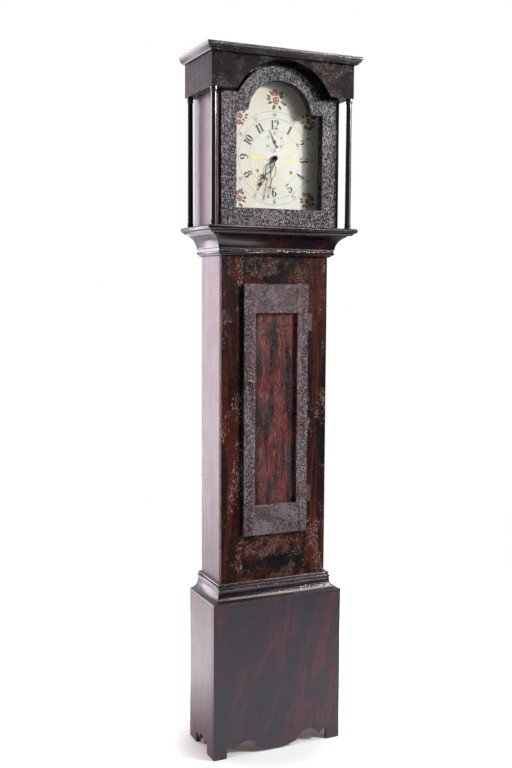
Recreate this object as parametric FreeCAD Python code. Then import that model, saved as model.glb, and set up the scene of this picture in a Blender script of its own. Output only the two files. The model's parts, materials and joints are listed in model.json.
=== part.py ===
import FreeCAD, Part
import math
import os

# A longcase clock: a painted wooden case in three stages (base, waist, hood) round an
# eight-day weight-driven movement. Millimetres, +Z up, +X to the right as one faces the
# clock, +Y towards the wall. The origin is on the floor under the middle of the case.
# Depths are given from the back plane, which the wall touches, towards the front.

Vec = FreeCAD.Vector

# ---------------------------------------------------------------- overall sizes
waist_width = 354.0
waist_depth = 163.0
total_height = 2130.0

# heights of the three stages; the waist takes what the others leave
base_top_z = 480.0
base_moulding_height = 60.0
hood_height = 511.3            # from the top of the hood's base moulding to the top of the cornice

# how far each stage stands out from the waist, at the sides and at the front
base_overhang = 40.0
hood_overhang = 24.5           # the hood's side boards
hood_side_overhang = 21.0      # the front edge of the hood's side boards
frieze_overhang = 54.5
frieze_front_overhang = 57.5
cornice_overhang = 19.5        # beyond the frieze
cove_overhang = 44.0           # top of the moulding under the hood
hood_nose = 14.0               # nose of the hood's base moulding, beyond the frieze

half_waist = waist_width / 2
half_base = half_waist + base_overhang
base_depth = waist_depth + base_overhang
half_frieze = half_waist + frieze_overhang
frieze_depth = waist_depth + frieze_front_overhang
cornice_depth = frieze_depth + cornice_overhang
hood_floor_z = total_height - hood_height

# hood
cornice_height = 23.0
frieze_rise = 389.9            # underside of the frieze above the hood's floor
hood_side_outer = half_waist + hood_overhang
hood_side_board = 10.0
hood_side_depth = waist_depth + hood_side_overhang
hood_moulding_height = 21.0
frieze_board = 14.0
frieze_arch_radius = 170.0
frieze_arch_rise = 313.0
soffit_board = 9.0
top_board = 10.0
mask_board = 13.0
mask_setback = 27.0            # the mask frame's rear face, behind the side boards' front edges
column_radius = 10.0
column_inset = 0.5             # the columns stand this far inside the frieze
column_back_depth = 18.0
frieze_bottom_z = hood_floor_z + frieze_rise
frieze_top_z = total_height - cornice_height
frieze_arch_z = hood_floor_z + frieze_arch_rise
side_inner = hood_side_outer - hood_side_board
mask_back = hood_side_depth - mask_setback
mask_front = mask_back + mask_board
column_x = half_frieze - column_radius - column_inset
column_front_depth = frieze_depth - column_radius - column_inset

# hood door
door_gap = 1.5
door_proud = 6.0               # the door's face stands this far out from the side boards
door_board = 18.0
door_bottom_gap = 3.3
door_top_gap = 3.6
door_arch_radius = 148.0
arch_rise = 324.3              # shared centre of the door's and the dial's arches
door_stile = 48.5
door_bottom_rail = 51.0
door_shoulder = 49.0
sight_arch_radius = 105.0
glass_thickness = 2.0
glass_lap = 5.0                # how far the glass runs into the frame
glass_inset = 11.0             # from the door's face to the glass
mask_margin = 1.5              # the mask opening stands this far outside the sight opening
door_half_width = side_inner - door_gap
door_front = hood_side_depth + door_proud
door_bottom_z = hood_floor_z + door_bottom_gap
door_shoulder_z = frieze_bottom_z - door_top_gap
arch_z = hood_floor_z + arch_rise
sight_half_width = door_half_width - door_stile
sight_bottom_z = door_bottom_z + door_bottom_rail
sight_shoulder_z = door_shoulder_z - door_shoulder
glass_back = door_front - glass_inset - glass_thickness

# waist
slide_gap = 0.3                # play between the hood and the moulding it slides on
waist_board = 12.0
waist_front_board = 16.0
waist_bottom_z = base_top_z - 40.0     # the waist boards run down inside the base
waist_moulding_height = 65.0
waist_top_z = hood_floor_z - hood_moulding_height - slide_gap
waist_moulding_bottom_z = waist_top_z - waist_moulding_height
base_moulding_top_z = base_top_z + base_moulding_height

# waist door
waist_door_half_width = 107.3
waist_door_bottom_gap = 141.0  # above the base moulding
waist_door_top_gap = 82.9      # below the waist moulding
waist_lip = 8.0                # how far the door laps over the case all round
waist_lip_board = 11.0
waist_rebate_board = 8.0
waist_door_stile = 36.3
waist_door_top_rail = 87.5
waist_door_bottom_rail = 91.0
panel_board = 6.0
panel_recess = 11.0
panel_tongue = 5.0
lock_above_middle = 81.0
lock_inset = 16.3              # keyhole from the door's edge
hinge_inset = 116.0            # middle of each hinge from the door's end
waist_door_bottom_z = base_moulding_top_z + waist_door_bottom_gap
waist_door_top_z = waist_moulding_bottom_z - waist_door_top_gap
lock_z = (waist_door_bottom_z + waist_door_top_z) / 2 + lock_above_middle
lock_x = lock_inset - waist_door_half_width

# base
base_board = 16.0
bottom_board_z = 60.0
bottom_board = 14.0
foot_width = 44.5
side_foot_width = 56.0
foot_height = 33.0
skirt_cusp_z = 21.0
skirt_hump_z = 44.0
skirt_middle_z = 6.0

# inside
back_board = 14.0
wall_hole_radius = 2.5         # a screw through the backboard holds the clock to the wall
wall_hole_x = 100.0
wall_hole_rise = 40.0
seat_rise = 101.3              # top of the seat board above the hood's floor
seat_board = 16.0
seat_front_lap = 23.0          # the seat board runs this far past the front plate
hood_clearance = 1.5           # sideways play of the hood over the backboard and cheeks
seat_top_z = hood_floor_z + seat_rise

# movement, placed from the dial backwards
dial_setback = 9.5             # the dial's rear face behind the mask
dial_thickness = 1.5
dial_margin = 9.5              # the dial is this much wider than the glazed opening, each side
dial_bottom_margin = 3.3
dial_shoulder_margin = 16.0
dial_arch_margin = 13.0
motion_space = 40.5            # between the front plate and the dial
plate_thickness = 3.0
plate_space = 55.0             # between the plates
plate_half_width = 75.0
plate_height = 210.0
hub_rise = 207.3               # centre of the dial above the hood's floor
seconds_rise = 49.0            # seconds arbor above the hub
winding_x = 56.0
winding_drop = 39.0            # winding arbors below the hub
running = 0.05                 # radial clearance of every arbor and pivot
dial_depth = mask_back - dial_setback
front_plate_depth = dial_depth - motion_space - plate_thickness
back_plate_depth = front_plate_depth - plate_space - plate_thickness
seat_front = front_plate_depth + plate_thickness + seat_front_lap
seat_back = back_plate_depth - 4.0
plate_top_z = seat_top_z + plate_height
hub_z = hood_floor_z + hub_rise
seconds_z = hub_z + seconds_rise
winding_z = hub_z - winding_drop

# hands, with their angles clockwise from twelve
hand_length_minute = 125.0
hand_length_hour = 99.0
hand_length_seconds = 37.0
hand_angle_minute = 192.0
hand_angle_hour = 212.0
hand_angle_seconds = 332.0
hand_thickness = 0.8

# weights, lines and pendulum
drum_radius = 24.3
line_radius = 1.0
line_rest_length = 220.0       # from the seat board's top to the pulleys
weight_radius = 36.0
weight_height = 190.0
pulley_to_weight = 60.0
pendulum_behind_plate = 14.0
pendulum_length = 994.0
bob_radius = 57.0
bob_thickness = 23.0
weight_depth = back_plate_depth + 36.0
pendulum_depth = back_plate_depth - pendulum_behind_plate
pulley_z = seat_top_z - line_rest_length
weight_top_z = pulley_z - pulley_to_weight

back_y = cornice_depth / 2

os.makedirs("parts", exist_ok=True)


# ---------------------------------------------------------------- helpers
def depth(value):
    """The y of a plane that stands this far in front of the back plane."""
    return back_y - value


def board(x0, x1, depth0, depth1, z0, z1):
    """A rectangular board between two x, two depths and two heights."""
    return Part.makeBox(x1 - x0, depth1 - depth0, z1 - z0, Vec(x0, depth(depth1), z0))


def rod(x, z, depth0, depth1, radius):
    """A round bar that lies front to back."""
    return Part.makeCylinder(radius, depth1 - depth0, Vec(x, depth(depth0), z), Vec(0, -1, 0))


def post(x, at_depth, z0, z1, radius):
    """A round bar that stands upright."""
    return Part.makeCylinder(radius, z1 - z0, Vec(x, depth(at_depth), z0), Vec(0, 0, 1))


def outline(points, place):
    """A closed wire. A point is (a, b), or (a, b, via_a, via_b) when an arc leads to it."""
    edges = []
    last = place(points[-1][0], points[-1][1])
    for point in points:
        here = place(point[0], point[1])
        if len(point) == 4:
            edges.append(Part.Arc(last, place(point[2], point[3]), here).toShape())
        elif (here - last).Length > 1e-6:
            edges.append(Part.LineSegment(last, here).toShape())
        last = here
    return Part.Wire(edges)


def front_board(points, depth0, depth1):
    """A board cut to an outline of (x, z) points, between two depths."""
    wire = outline(points, lambda x, z: Vec(x, depth(depth0), z))
    return Part.Face(wire).extrude(Vec(0, depth0 - depth1, 0))


def side_board(points, x0, x1):
    """A board cut to an outline of (depth, z) points, between two x."""
    wire = outline(points, lambda d, z: Vec(x0, depth(d), z))
    return Part.Face(wire).extrude(Vec(x1 - x0, 0, 0))


def both_sides(points):
    """A symmetrical outline from its right half, whose first and last points are on the axis."""
    left = []
    for index in range(len(points) - 2, -1, -1):
        point = points[index]
        after = points[index + 1]
        if len(after) == 4:
            left.append((-point[0], point[1], -after[2], after[3]))
        else:
            left.append((-point[0], point[1]))
    return list(points) + left


def mitred(profile, half_width, front_depth, inner, outer):
    """A moulding round the front and both sides. Profile points are (offset, z), out from the case."""
    left = -half_width - outer
    right = half_width + outer
    length = right - left
    front_wire = outline(profile, lambda o, z: Vec(left, depth(front_depth + o), z))
    front = Part.Face(front_wire).extrude(Vec(length, 0, 0))
    reach = front_depth + outer
    low = min(point[1] for point in profile) - 1
    high = max(point[1] for point in profile) + 1

    def wedge(corners):
        wire = Part.makePolygon([Vec(x, depth(d), low) for x, d in corners + corners[:1]])
        return Part.Face(wire).extrude(Vec(0, 0, high - low))

    inner_x = half_width + inner
    inner_d = front_depth + inner
    front = front.common(wedge([(-inner_x, inner_d), (inner_x, inner_d), (right, reach), (left, reach)]))
    pieces = [front]
    for side in (-1, 1):
        side_wire = outline(profile, lambda o, z: Vec(side * (half_width + o), depth(0), z))
        piece = Part.Face(side_wire).extrude(Vec(0, -reach, 0))
        corners = [(side * inner_x, -1), (side * inner_x, inner_d), (side * right, reach),
            (side * right, -1)]
        pieces.append(piece.common(wedge(corners)))
    return Part.makeCompound([solid for piece in pieces for solid in piece.Solids])


def joined(shapes):
    """Several shapes fused into one clean solid."""
    result = shapes[0].fuse(shapes[1:])
    return result.removeSplitter()


def group(shapes):
    return Part.makeCompound([solid for shape in shapes for solid in shape.Solids])


def save(name, shape):
    solids = shape.Solids
    if len(solids) == 1:
        shape = solids[0]
    shape.exportStep("parts/" + name + ".step")
    print(name, len(solids), "solids", round(shape.Volume), "mm3")


# ---------------------------------------------------------------- base
base_side_depth = base_depth - base_board


def make_base():
    foot_x = half_base - foot_width
    half_front = [
        (0, skirt_middle_z),
        (65, 15, 38, 8),
        (147, skirt_cusp_z, 104, skirt_hump_z),
        (foot_x, foot_height, 160, foot_height + 1),
        (foot_x, 0),
        (half_base, 0),
        (half_base, base_top_z),
        (0, base_top_z),
    ]
    save("base_front", front_board(both_sides(half_front), base_side_depth, base_depth))

    front_foot = base_side_depth - (side_foot_width - base_board)
    cusp = 25.0
    side = [
        (0, 0),
        (side_foot_width, 0),
        (side_foot_width, foot_height),
        (side_foot_width + cusp, skirt_cusp_z, side_foot_width + cusp / 2, foot_height + 1),
        (front_foot - cusp, skirt_cusp_z, (side_foot_width + front_foot) / 2, skirt_hump_z),
        (front_foot, foot_height, front_foot - cusp / 2, foot_height + 1),
        (front_foot, 0),
        (base_side_depth, 0),
        (base_side_depth, base_top_z),
        (0, base_top_z),
    ]
    inner = half_base - base_board
    save("base_sides", group([side_board(side, -half_base, -inner), side_board(side, inner, half_base)]))
    bottom_top_z = bottom_board_z + bottom_board
    save("base_bottom_board", board(-inner, inner, back_board, base_side_depth, bottom_board_z,
        bottom_top_z))

    block = 26.0
    block_height = 60.0
    blocks = []
    for side_sign in (-1, 1):
        for block_depth in (back_board, base_side_depth - block):
            x0, x1 = sorted((side_sign * inner, side_sign * (inner - block)))
            z0 = bottom_top_z
            blocks.append(board(x0, x1, block_depth, block_depth + block, z0, z0 + block_height))
        for block_depth in (45.0, 110.0):
            x0, x1 = sorted((side_sign * half_waist, side_sign * inner))
            blocks.append(board(x0, x1, block_depth, block_depth + block, waist_bottom_z, base_top_z))
    save("glue_blocks", group(blocks))

    overhang = base_overhang + 0.5
    bead = 9.0
    first = base_moulding_top_z - bead
    second = first - bead
    profile = [
        (0, base_moulding_top_z),
        (7, base_moulding_top_z - 1),
        (8.5, first + 1, 12.5, first + bead / 2),
        (10.5, first),
        (11.5, second, 15, first - bead / 2),
        (13.5, second - 2),
        (overhang - 2, base_top_z + 7, 19, base_top_z + 18),
        (overhang, base_top_z + 7),
        (overhang, base_top_z),
        (0, base_top_z),
    ]
    save("base_moulding", mitred(profile, half_waist, waist_depth, 0, overhang + 1))


# ---------------------------------------------------------------- waist
waist_side_depth = waist_depth - waist_front_board
opening_half_width = waist_door_half_width - waist_lip
opening_bottom_z = waist_door_bottom_z + waist_lip
opening_top_z = waist_door_top_z - waist_lip
seat_bottom_z = seat_top_z - seat_board
bolt_height = 20.0
bolt_depth0 = 146.0
bolt_depth1 = 151.0


def make_waist():
    side = [
        (0, waist_bottom_z),
        (waist_side_depth, waist_bottom_z),
        (waist_side_depth, waist_top_z),
        (seat_front, waist_top_z),
        (seat_front, seat_bottom_z),
        (back_board, seat_bottom_z),
        (back_board, waist_top_z),
        (0, waist_top_z),
    ]
    inner = half_waist - waist_board
    save("waist_sides", group([side_board(side, -half_waist, -inner), side_board(side, inner, half_waist)]))

    stiles = []
    for sign in (-1, 1):
        x0, x1 = sorted((sign * opening_half_width, sign * half_waist))
        stiles.append(board(x0, x1, waist_side_depth, waist_depth, waist_bottom_z, waist_top_z))
    mortise_end = -opening_half_width - 15.0
    play = 1.0
    stiles[0] = stiles[0].cut(board(
        mortise_end, -opening_half_width, waist_side_depth - 1, bolt_depth1 + play,
        lock_z - bolt_height / 2 - play, lock_z + bolt_height / 2 + play))
    rail_x = opening_half_width
    rails = [board(-rail_x, rail_x, waist_side_depth, waist_depth, z0, z1)
             for z0, z1 in ((opening_top_z, waist_top_z), (waist_bottom_z, opening_bottom_z))]
    save("waist_front_frame", group(stiles + rails))

    top = cove_overhang
    low = waist_moulding_bottom_z
    profile = [
        (0, waist_top_z),
        (top, waist_top_z),
        (top, waist_top_z - 3),
        (16.5, low + 23.6, 23, low + 43.6),
        (14.5, low + 21.6),
        (14.5, low + 13.6),
        (8.5, low + 5.6, 15, low + 7),
        (8.5, low + 3.6),
        (0, low, 5.5, low + 0.4),
    ]
    save("waist_moulding", mitred(profile, half_waist, waist_depth, 0, top + 1))

    ear = hood_side_outer - hood_side_board - hood_clearance
    base_inner = half_base - base_board
    ear_bottom_z = hood_floor_z + 3
    back_top_z = frieze_top_z - 32
    wall_hole = rod(wall_hole_x, hood_floor_z + wall_hole_rise, -1, back_board + 1, wall_hole_radius)
    planks = [board(-inner, inner, 0, back_board, bottom_board_z, back_top_z).cut(wall_hole)]
    for sign in (-1, 1):
        x0, x1 = sorted((sign * inner, sign * ear))
        planks.append(board(x0, x1, 0, back_board, ear_bottom_z, back_top_z))
        x0, x1 = sorted((sign * inner, sign * base_inner))
        planks.append(board(x0, x1, 0, back_board, bottom_board_z, waist_bottom_z))
    save("backboard", group(planks))

    seat = board(-half_waist, half_waist, seat_back, seat_front, seat_bottom_z, seat_top_z)
    for sign in (-1, 1):
        for offset in (-1, 1):
            hole_x = sign * winding_x + offset * line_offset
            seat = seat.cut(post(hole_x, weight_depth, seat_bottom_z - 1, seat_top_z + 1, 5.0))
    save("seat_board", seat)


# ---------------------------------------------------------------- waist door
door_lip_back = waist_depth + slide_gap
door_lip_front = door_lip_back + waist_lip_board
rebate_back = door_lip_back - waist_rebate_board
rebate_half_width = opening_half_width - door_gap
hinge_x = waist_door_half_width + 3.0
hinge_depth = waist_depth + 4.0
hinge_height = 54.0
hinge_zs = (waist_door_bottom_z + hinge_inset, waist_door_top_z - hinge_inset)
knuckle_radius = 2.7
leaf = 1.5
leaf_reach = 15.0


def make_waist_door():
    panel_x = waist_door_half_width - waist_door_stile
    panel_z0 = waist_door_bottom_z + waist_door_bottom_rail
    panel_z1 = waist_door_top_z - waist_door_top_rail
    panel_front = door_lip_front - panel_recess
    pieces = []
    for sign in (-1, 1):
        x0, x1 = sorted((sign * panel_x, sign * waist_door_half_width))
        stile = board(x0, x1, door_lip_back, door_lip_front, waist_door_bottom_z, waist_door_top_z)
        r0, r1 = sorted((sign * panel_x, sign * rebate_half_width))
        back = board(r0, r1, rebate_back, door_lip_back, opening_bottom_z + door_gap,
            opening_top_z - door_gap)
        pieces.append(joined([stile, back]))
    for z0, z1, back_z0, back_z1 in (
            (waist_door_bottom_z, panel_z0, opening_bottom_z + door_gap, panel_z0),
            (panel_z1, waist_door_top_z, panel_z1, opening_top_z - door_gap)):
        rail = board(-panel_x, panel_x, door_lip_back, door_lip_front, z0, z1)
        back = board(-panel_x, panel_x, rebate_back, door_lip_back, back_z0, back_z1)
        pieces.append(joined([rail, back]))

    groove = board(-panel_x - panel_tongue, panel_x + panel_tongue, panel_front - panel_board, panel_front,
                   panel_z0 - panel_tongue, panel_z1 + panel_tongue)
    keyhole = joined([
        rod(lock_x, lock_z + 3, rebate_back - 1, door_lip_front + 1, 3.0),
        board(lock_x - 1.5, lock_x + 1.5, rebate_back - 1, door_lip_front + 1, lock_z - 9, lock_z + 3)])
    hinge_slots = []
    for z in hinge_zs:
        z0 = z - hinge_height / 2
        hinge_slots.append(board(hinge_x - leaf_reach, hinge_x, door_lip_back, door_lip_back + leaf,
                                 z0, z0 + hinge_height))
    framed = [piece.cut([groove, keyhole] + hinge_slots) for piece in pieces]
    save("waist_door_frame", group(framed))
    save("waist_door_panel", groove)

    ring = rod(lock_x, lock_z, door_lip_front, door_lip_front + 2.5, 15.0)
    ring = ring.cut(rod(lock_x, lock_z, door_lip_front - 1, door_lip_front + 4, 11.5))
    save("waist_door_escutcheon", ring)

    lock_depth0 = bolt_depth0 - 4.0
    lock = board(-rebate_half_width, -rebate_half_width + 34, lock_depth0, rebate_back,
                 lock_z - 30, lock_z + 30)
    bolt = board(-rebate_half_width + 0.5, -rebate_half_width + 28, bolt_depth0, bolt_depth1,
                 lock_z - bolt_height / 2, lock_z + bolt_height / 2)
    play = 0.3
    race = board(-rebate_half_width - 1, -rebate_half_width + 30, bolt_depth0 - play, bolt_depth1 + play,
                 lock_z - bolt_height / 2 - play, lock_z + bolt_height / 2 + play)
    key_way = rod(lock_x, lock_z, lock_depth0 - 1, rebate_back + 1, 1.0)
    save("waist_door_lock", lock.cut([race, key_way]))
    save("lock_bolt", bolt)


def make_waist_hinges():
    door_leaves = []
    case_leaves = []
    third = hinge_height / 3
    for z in hinge_zs:
        z0 = z - hinge_height / 2
        knuckle = post(hinge_x, hinge_depth, z0 + third + 0.3, z0 + 2 * third - 0.3, knuckle_radius)
        plate = board(hinge_x - leaf_reach, hinge_x, door_lip_back, door_lip_back + leaf,
                      z0 + third + 0.3, z0 + 2 * third - 0.3)
        back = board(hinge_x - leaf_reach, waist_door_half_width, door_lip_back, door_lip_back + leaf,
                     z0, z0 + hinge_height)
        pin_hole = post(hinge_x, hinge_depth, z0 - 1, z0 + hinge_height + 1, 1.2 + running)
        door_leaves.append(joined([knuckle, plate, back]).cut(pin_hole))

        pieces = [post(hinge_x, hinge_depth, z0, z0 + hinge_height, 1.2)]
        for start in (z0, z0 + 2 * third):
            pieces.append(post(hinge_x, hinge_depth, start, start + third, knuckle_radius))
            pieces.append(board(hinge_x, hinge_x + knuckle_radius + 1, waist_depth, waist_depth + leaf,
                                start, start + third))
        pieces.append(board(hinge_x + knuckle_radius + 0.6, hinge_x + leaf_reach, waist_depth,
                            waist_depth + leaf, z0, z0 + hinge_height))
        case_leaves.append(joined(pieces))
    save("waist_hinge_door_leaves", group(door_leaves))
    save("waist_hinge_case_leaves", group(case_leaves))


# ---------------------------------------------------------------- hood
soffit_x = frieze_arch_radius - 15.0
pivot_inset = 3.0
pivot_x = door_half_width - pivot_inset
pivot_depth = door_front - pivot_inset
pivot_radius = 1.5


def break_arch(half_width, z0, shoulder_z, radius, grow=0.0):
    """The outline of a square opening with an arch on top, grown outwards by the given margin."""
    half_width = half_width + grow
    z0 = z0 - grow
    shoulder_z = shoulder_z + grow
    radius = radius + grow
    foot = math.sqrt(radius ** 2 - (shoulder_z - arch_z) ** 2)
    return [
        (-half_width, z0),
        (half_width, z0),
        (half_width, shoulder_z),
        (foot, shoulder_z),
        (-foot, shoulder_z, 0, arch_z + radius),
        (-half_width, shoulder_z),
    ]


def sight_opening(depth0, depth1, grow=0.0):
    points = break_arch(sight_half_width, sight_bottom_z, sight_shoulder_z, sight_arch_radius, grow)
    return front_board(points, depth0, depth1)


def make_hood():
    save("hood_sides", group([
        board(-hood_side_outer, -side_inner, 0, hood_side_depth, hood_floor_z, frieze_top_z),
        board(side_inner, hood_side_outer, 0, hood_side_depth, hood_floor_z, frieze_top_z)]))
    mask = board(-side_inner, side_inner, mask_back, mask_front, hood_floor_z, frieze_top_z)
    save("hood_mask_frame", mask.cut(sight_opening(mask_back - 1, mask_front + 1, mask_margin)))

    frame_outer = half_waist + cove_overhang
    frame_front = waist_depth + cove_overhang
    frame_bottom_z = waist_top_z + slide_gap
    rail_inner = half_waist + 4.0
    front_inner = waist_depth + 4.0
    pivot_hole = post(pivot_x, pivot_depth, hood_floor_z - 12, hood_floor_z + 1, pivot_radius + running)
    rails = [board(-frame_outer, frame_outer, front_inner, frame_front, frame_bottom_z,
        hood_floor_z).cut(pivot_hole)]
    for sign in (-1, 1):
        x0, x1 = sorted((sign * rail_inner, sign * frame_outer))
        rails.append(board(x0, x1, 0, front_inner, frame_bottom_z, hood_floor_z))
    save("hood_base_frame", group(rails))

    nose = frieze_overhang + hood_nose
    profile = [
        (cove_overhang, hood_floor_z),
        (nose - 5, hood_floor_z),
        (nose - 5, hood_floor_z - 14, nose, hood_floor_z - 7),
        (nose - 9, hood_floor_z - 17, nose - 8, hood_floor_z - 14.8),
        (nose - 11, hood_floor_z - 18),
        (nose - 13, frame_bottom_z),
        (cove_overhang, frame_bottom_z),
    ]
    save("hood_base_moulding", mitred(profile, half_waist, waist_depth, cove_overhang, nose + 1))

    columns = []
    for x in (-column_x, column_x):
        for at_depth in (column_front_depth, column_back_depth):
            columns.append(make_column(x, at_depth))
    save("hood_columns", group(columns))

    frieze = board(-half_frieze, half_frieze, frieze_depth - frieze_board, frieze_depth,
        frieze_bottom_z, frieze_top_z)
    arch = rod(0, frieze_arch_z, frieze_depth - frieze_board - 1, frieze_depth + 1, frieze_arch_radius)
    save("frieze_front", frieze.cut(arch))
    frieze_back = frieze_depth - frieze_board
    frieze_inner = half_frieze - frieze_board
    save("frieze_sides", group([
        board(-half_frieze, -frieze_inner, 0, frieze_back, frieze_bottom_z, frieze_top_z),
        board(frieze_inner, half_frieze, 0, frieze_back, frieze_bottom_z, frieze_top_z)]))

    soffits = []
    for sign in (-1, 1):
        x0, x1 = sorted((sign * hood_side_outer, sign * frieze_inner))
        strip = board(x0, x1, 0, frieze_back, frieze_bottom_z, frieze_bottom_z + soffit_board)
        x0, x1 = sorted((sign * soffit_x, sign * hood_side_outer))
        front = board(x0, x1, hood_side_depth, frieze_back, frieze_bottom_z, frieze_bottom_z + soffit_board)
        x0, x1 = sorted((sign * soffit_x, sign * side_inner))
        web = board(x0, x1, mask_front, hood_side_depth, frieze_bottom_z, frieze_bottom_z + soffit_board)
        soffits.append(joined([strip, front, web]))
    top_hole = post(pivot_x, pivot_depth, frieze_bottom_z - 1, frieze_bottom_z + soffit_board - 1,
        pivot_radius + running)
    save("hood_soffit", group([soffit.cut(top_hole) for soffit in soffits]))

    overhang = cornice_overhang
    inset = -16.0
    profile = [
        (inset, total_height),
        (overhang, total_height),
        (overhang, total_height - 7),
        (overhang - 3, total_height - 10),
        (overhang - 5, total_height - 14, overhang - 2.5, total_height - 12.5),
        (overhang - 8, total_height - 17, overhang - 5.2, total_height - 16.4),
        (overhang - 11.5, total_height - 20.5, overhang - 8, total_height - 19.8),
        (overhang - 13, frieze_top_z),
        (inset, frieze_top_z),
    ]
    save("cornice", mitred(profile, half_frieze, frieze_depth, inset, overhang + 1))
    top_x = half_frieze + inset
    save("hood_top_board", board(-top_x, top_x, 0, frieze_depth + inset, frieze_top_z,
        frieze_top_z + top_board))


def make_column(x, at_depth):
    """A slender turned column: plain shaft with a ring at each end and square-edged plinths."""
    z0 = hood_floor_z
    z1 = frieze_bottom_z
    r = column_radius
    shaft = r - 1.0
    taper = 0.8
    half = [(0, z0), (r, z0), (r, z0 + 8), (r - 2, z0 + 10), (r - 2, z0 + 16, r + 0.4, z0 + 13),
        (shaft, z0 + 19)]
    top = [(shaft - taper, z1 - 19), (r - 2, z1 - 16), (r - 2, z1 - 10, r + 0.4, z1 - 13),
        (r, z1 - 8), (r, z1), (0, z1)]
    wire = outline(half + top, lambda a, b: Vec(x + a, depth(at_depth), b))
    return Part.Face(wire).revolve(Vec(x, depth(at_depth), 0), Vec(0, 0, 1), 360)


# ---------------------------------------------------------------- hood door
def make_hood_door():
    shoulder = math.sqrt(door_arch_radius ** 2 - (door_shoulder_z - arch_z) ** 2)
    outer = [
        (-door_half_width, door_bottom_z),
        (door_half_width, door_bottom_z),
        (door_half_width, door_shoulder_z),
        (shoulder, door_shoulder_z),
        (-shoulder, door_shoulder_z, 0, arch_z + door_arch_radius),
        (-door_half_width, door_shoulder_z),
    ]
    door_back = door_front - door_board
    frame = front_board(outer, door_back, door_front)
    frame = frame.cut(sight_opening(glass_back, door_front + 1))
    frame = frame.cut(sight_opening(door_back - 1, glass_back + glass_thickness, glass_lap))
    pivot_length = 24.0
    sockets = []
    straps = []
    strap_length = 42.0
    strap = 1.2
    for z, up in ((door_bottom_z, 1), (door_shoulder_z, -1)):
        z0, z1 = sorted((z, z + up * strap))
        plate = board(pivot_x - strap_length, pivot_x + pivot_inset - 0.5, pivot_depth - 9,
                      pivot_depth + pivot_inset - 0.5, z0, z1)
        p0, p1 = sorted((z - up * 10, z + up * strap))
        straps.append(joined([plate, post(pivot_x, pivot_depth, p0, p1, pivot_radius)]))
        sockets.append(plate)
    save("hood_door_frame", frame.cut(sockets))
    save("hood_door_pivots", group(straps))
    glass_points = break_arch(sight_half_width, sight_bottom_z, sight_shoulder_z, sight_arch_radius,
        glass_lap - 0.5)
    save("hood_door_glass", front_board(glass_points, glass_back, glass_back + glass_thickness))


# ---------------------------------------------------------------- movement
plate_gap0 = back_plate_depth + plate_thickness
plate_gap1 = front_plate_depth
front_face = front_plate_depth + plate_thickness
dial_front = dial_depth + dial_thickness
line_offset = drum_radius + line_radius

great_teeth = 96
centre_pinion_teeth = 8
centre_teeth = 64
third_pinion_teeth = 8
third_teeth = 60
escape_pinion_teeth = 8
escape_teeth = 30
cannon_teeth = 36
minute_teeth = 36
minute_pinion_teeth = 6
hour_teeth = 72

centre_module = 0.9
third_module = 0.8
motion_module = 0.7
great_distance = math.hypot(winding_x, hub_z - winding_z)
great_module = 2 * great_distance / (great_teeth + centre_pinion_teeth)
third_from_centre = centre_module * (centre_teeth + third_pinion_teeth) / 2
third_from_escape = third_module * (third_teeth + escape_pinion_teeth) / 2
third_rise = (third_from_centre ** 2 - third_from_escape ** 2 + seconds_rise ** 2) / (2 * seconds_rise)
third_x = math.sqrt(third_from_centre ** 2 - third_rise ** 2)
third_z = hub_z + third_rise
motion_distance = motion_module * (cannon_teeth + minute_teeth) / 2
hour_module = 2 * motion_distance / (minute_pinion_teeth + hour_teeth)
motion_angle = math.radians(-60)
minute_wheel_x = motion_distance * math.cos(motion_angle)
minute_wheel_z = hub_z + motion_distance * math.sin(motion_angle)
escape_radius = 25.0
anchor_z = seconds_z + escape_radius * math.sqrt(2)
arbor = 2.5
thin_arbor = 1.5
centre_pivot = 2.0
cannon_radius = 3.5
hour_pipe_radius = 5.0
pendulum_bob_z = anchor_z - pendulum_length
hammer_x = -58.0
hammer_z = plate_top_z - 40
bell_radius = 46.0
bell_depth = back_plate_depth + 32
bell_z = plate_top_z + 32
minute_arbor = 1.2
barrel_arbor = 3.5
spoke_share = 0.16             # width of a wheel's spoke, as a share of its rim's radius
pillar_radius = 3.5
pillar_collar = 5.5
pillar_inset = 66.0            # upper pillars from the middle of the plates
pillar_drop = 62.0             # upper pillars below the top of the plates
dial_foot_radius = 3.0
dial_foot_x = 64.0
winding_hole = 5.5             # in the dial, for the key


def toothed(x, z, teeth, module, depth0, depth1, towards, gap=False):
    """A toothed disc with a tooth, or a gap, facing the given direction in radians."""
    pitch = module * teeth / 2
    step = 2 * math.pi / teeth
    tip = pitch + 0.95 * module
    root = pitch - 1.35 * module
    half_root = 0.21 * step
    half_tip = 0.07 * step
    start = towards + (step / 2 if gap else 0)
    points = []
    for index in range(teeth):
        middle = start + index * step
        corners = ((root, -half_root), (pitch, -0.17 * step), (tip, -half_tip),
                   (tip, half_tip), (pitch, 0.17 * step), (root, half_root))
        for radius, turn in corners:
            points.append((x + radius * math.cos(middle + turn), z + radius * math.sin(middle + turn)))
    return front_board(points, depth0, depth1)


def spoked(wheel, x, z, rim, hub, depth0, depth1):
    """Cuts the crossings of a clock wheel, leaving the rim, the hub and four straight spokes."""
    ring = rod(x, z, depth0 - 1, depth1 + 1, rim).cut(rod(x, z, depth0 - 2, depth1 + 2, hub))
    half = spoke_share * rim / 2
    reach = rim + 1
    level = board(x - reach, x + reach, depth0 - 2, depth1 + 2, z - half, z + half)
    upright = board(x - half, x + half, depth0 - 2, depth1 + 2, z - reach, z + reach)
    return wheel.cut(ring.cut([level, upright]))


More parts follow.
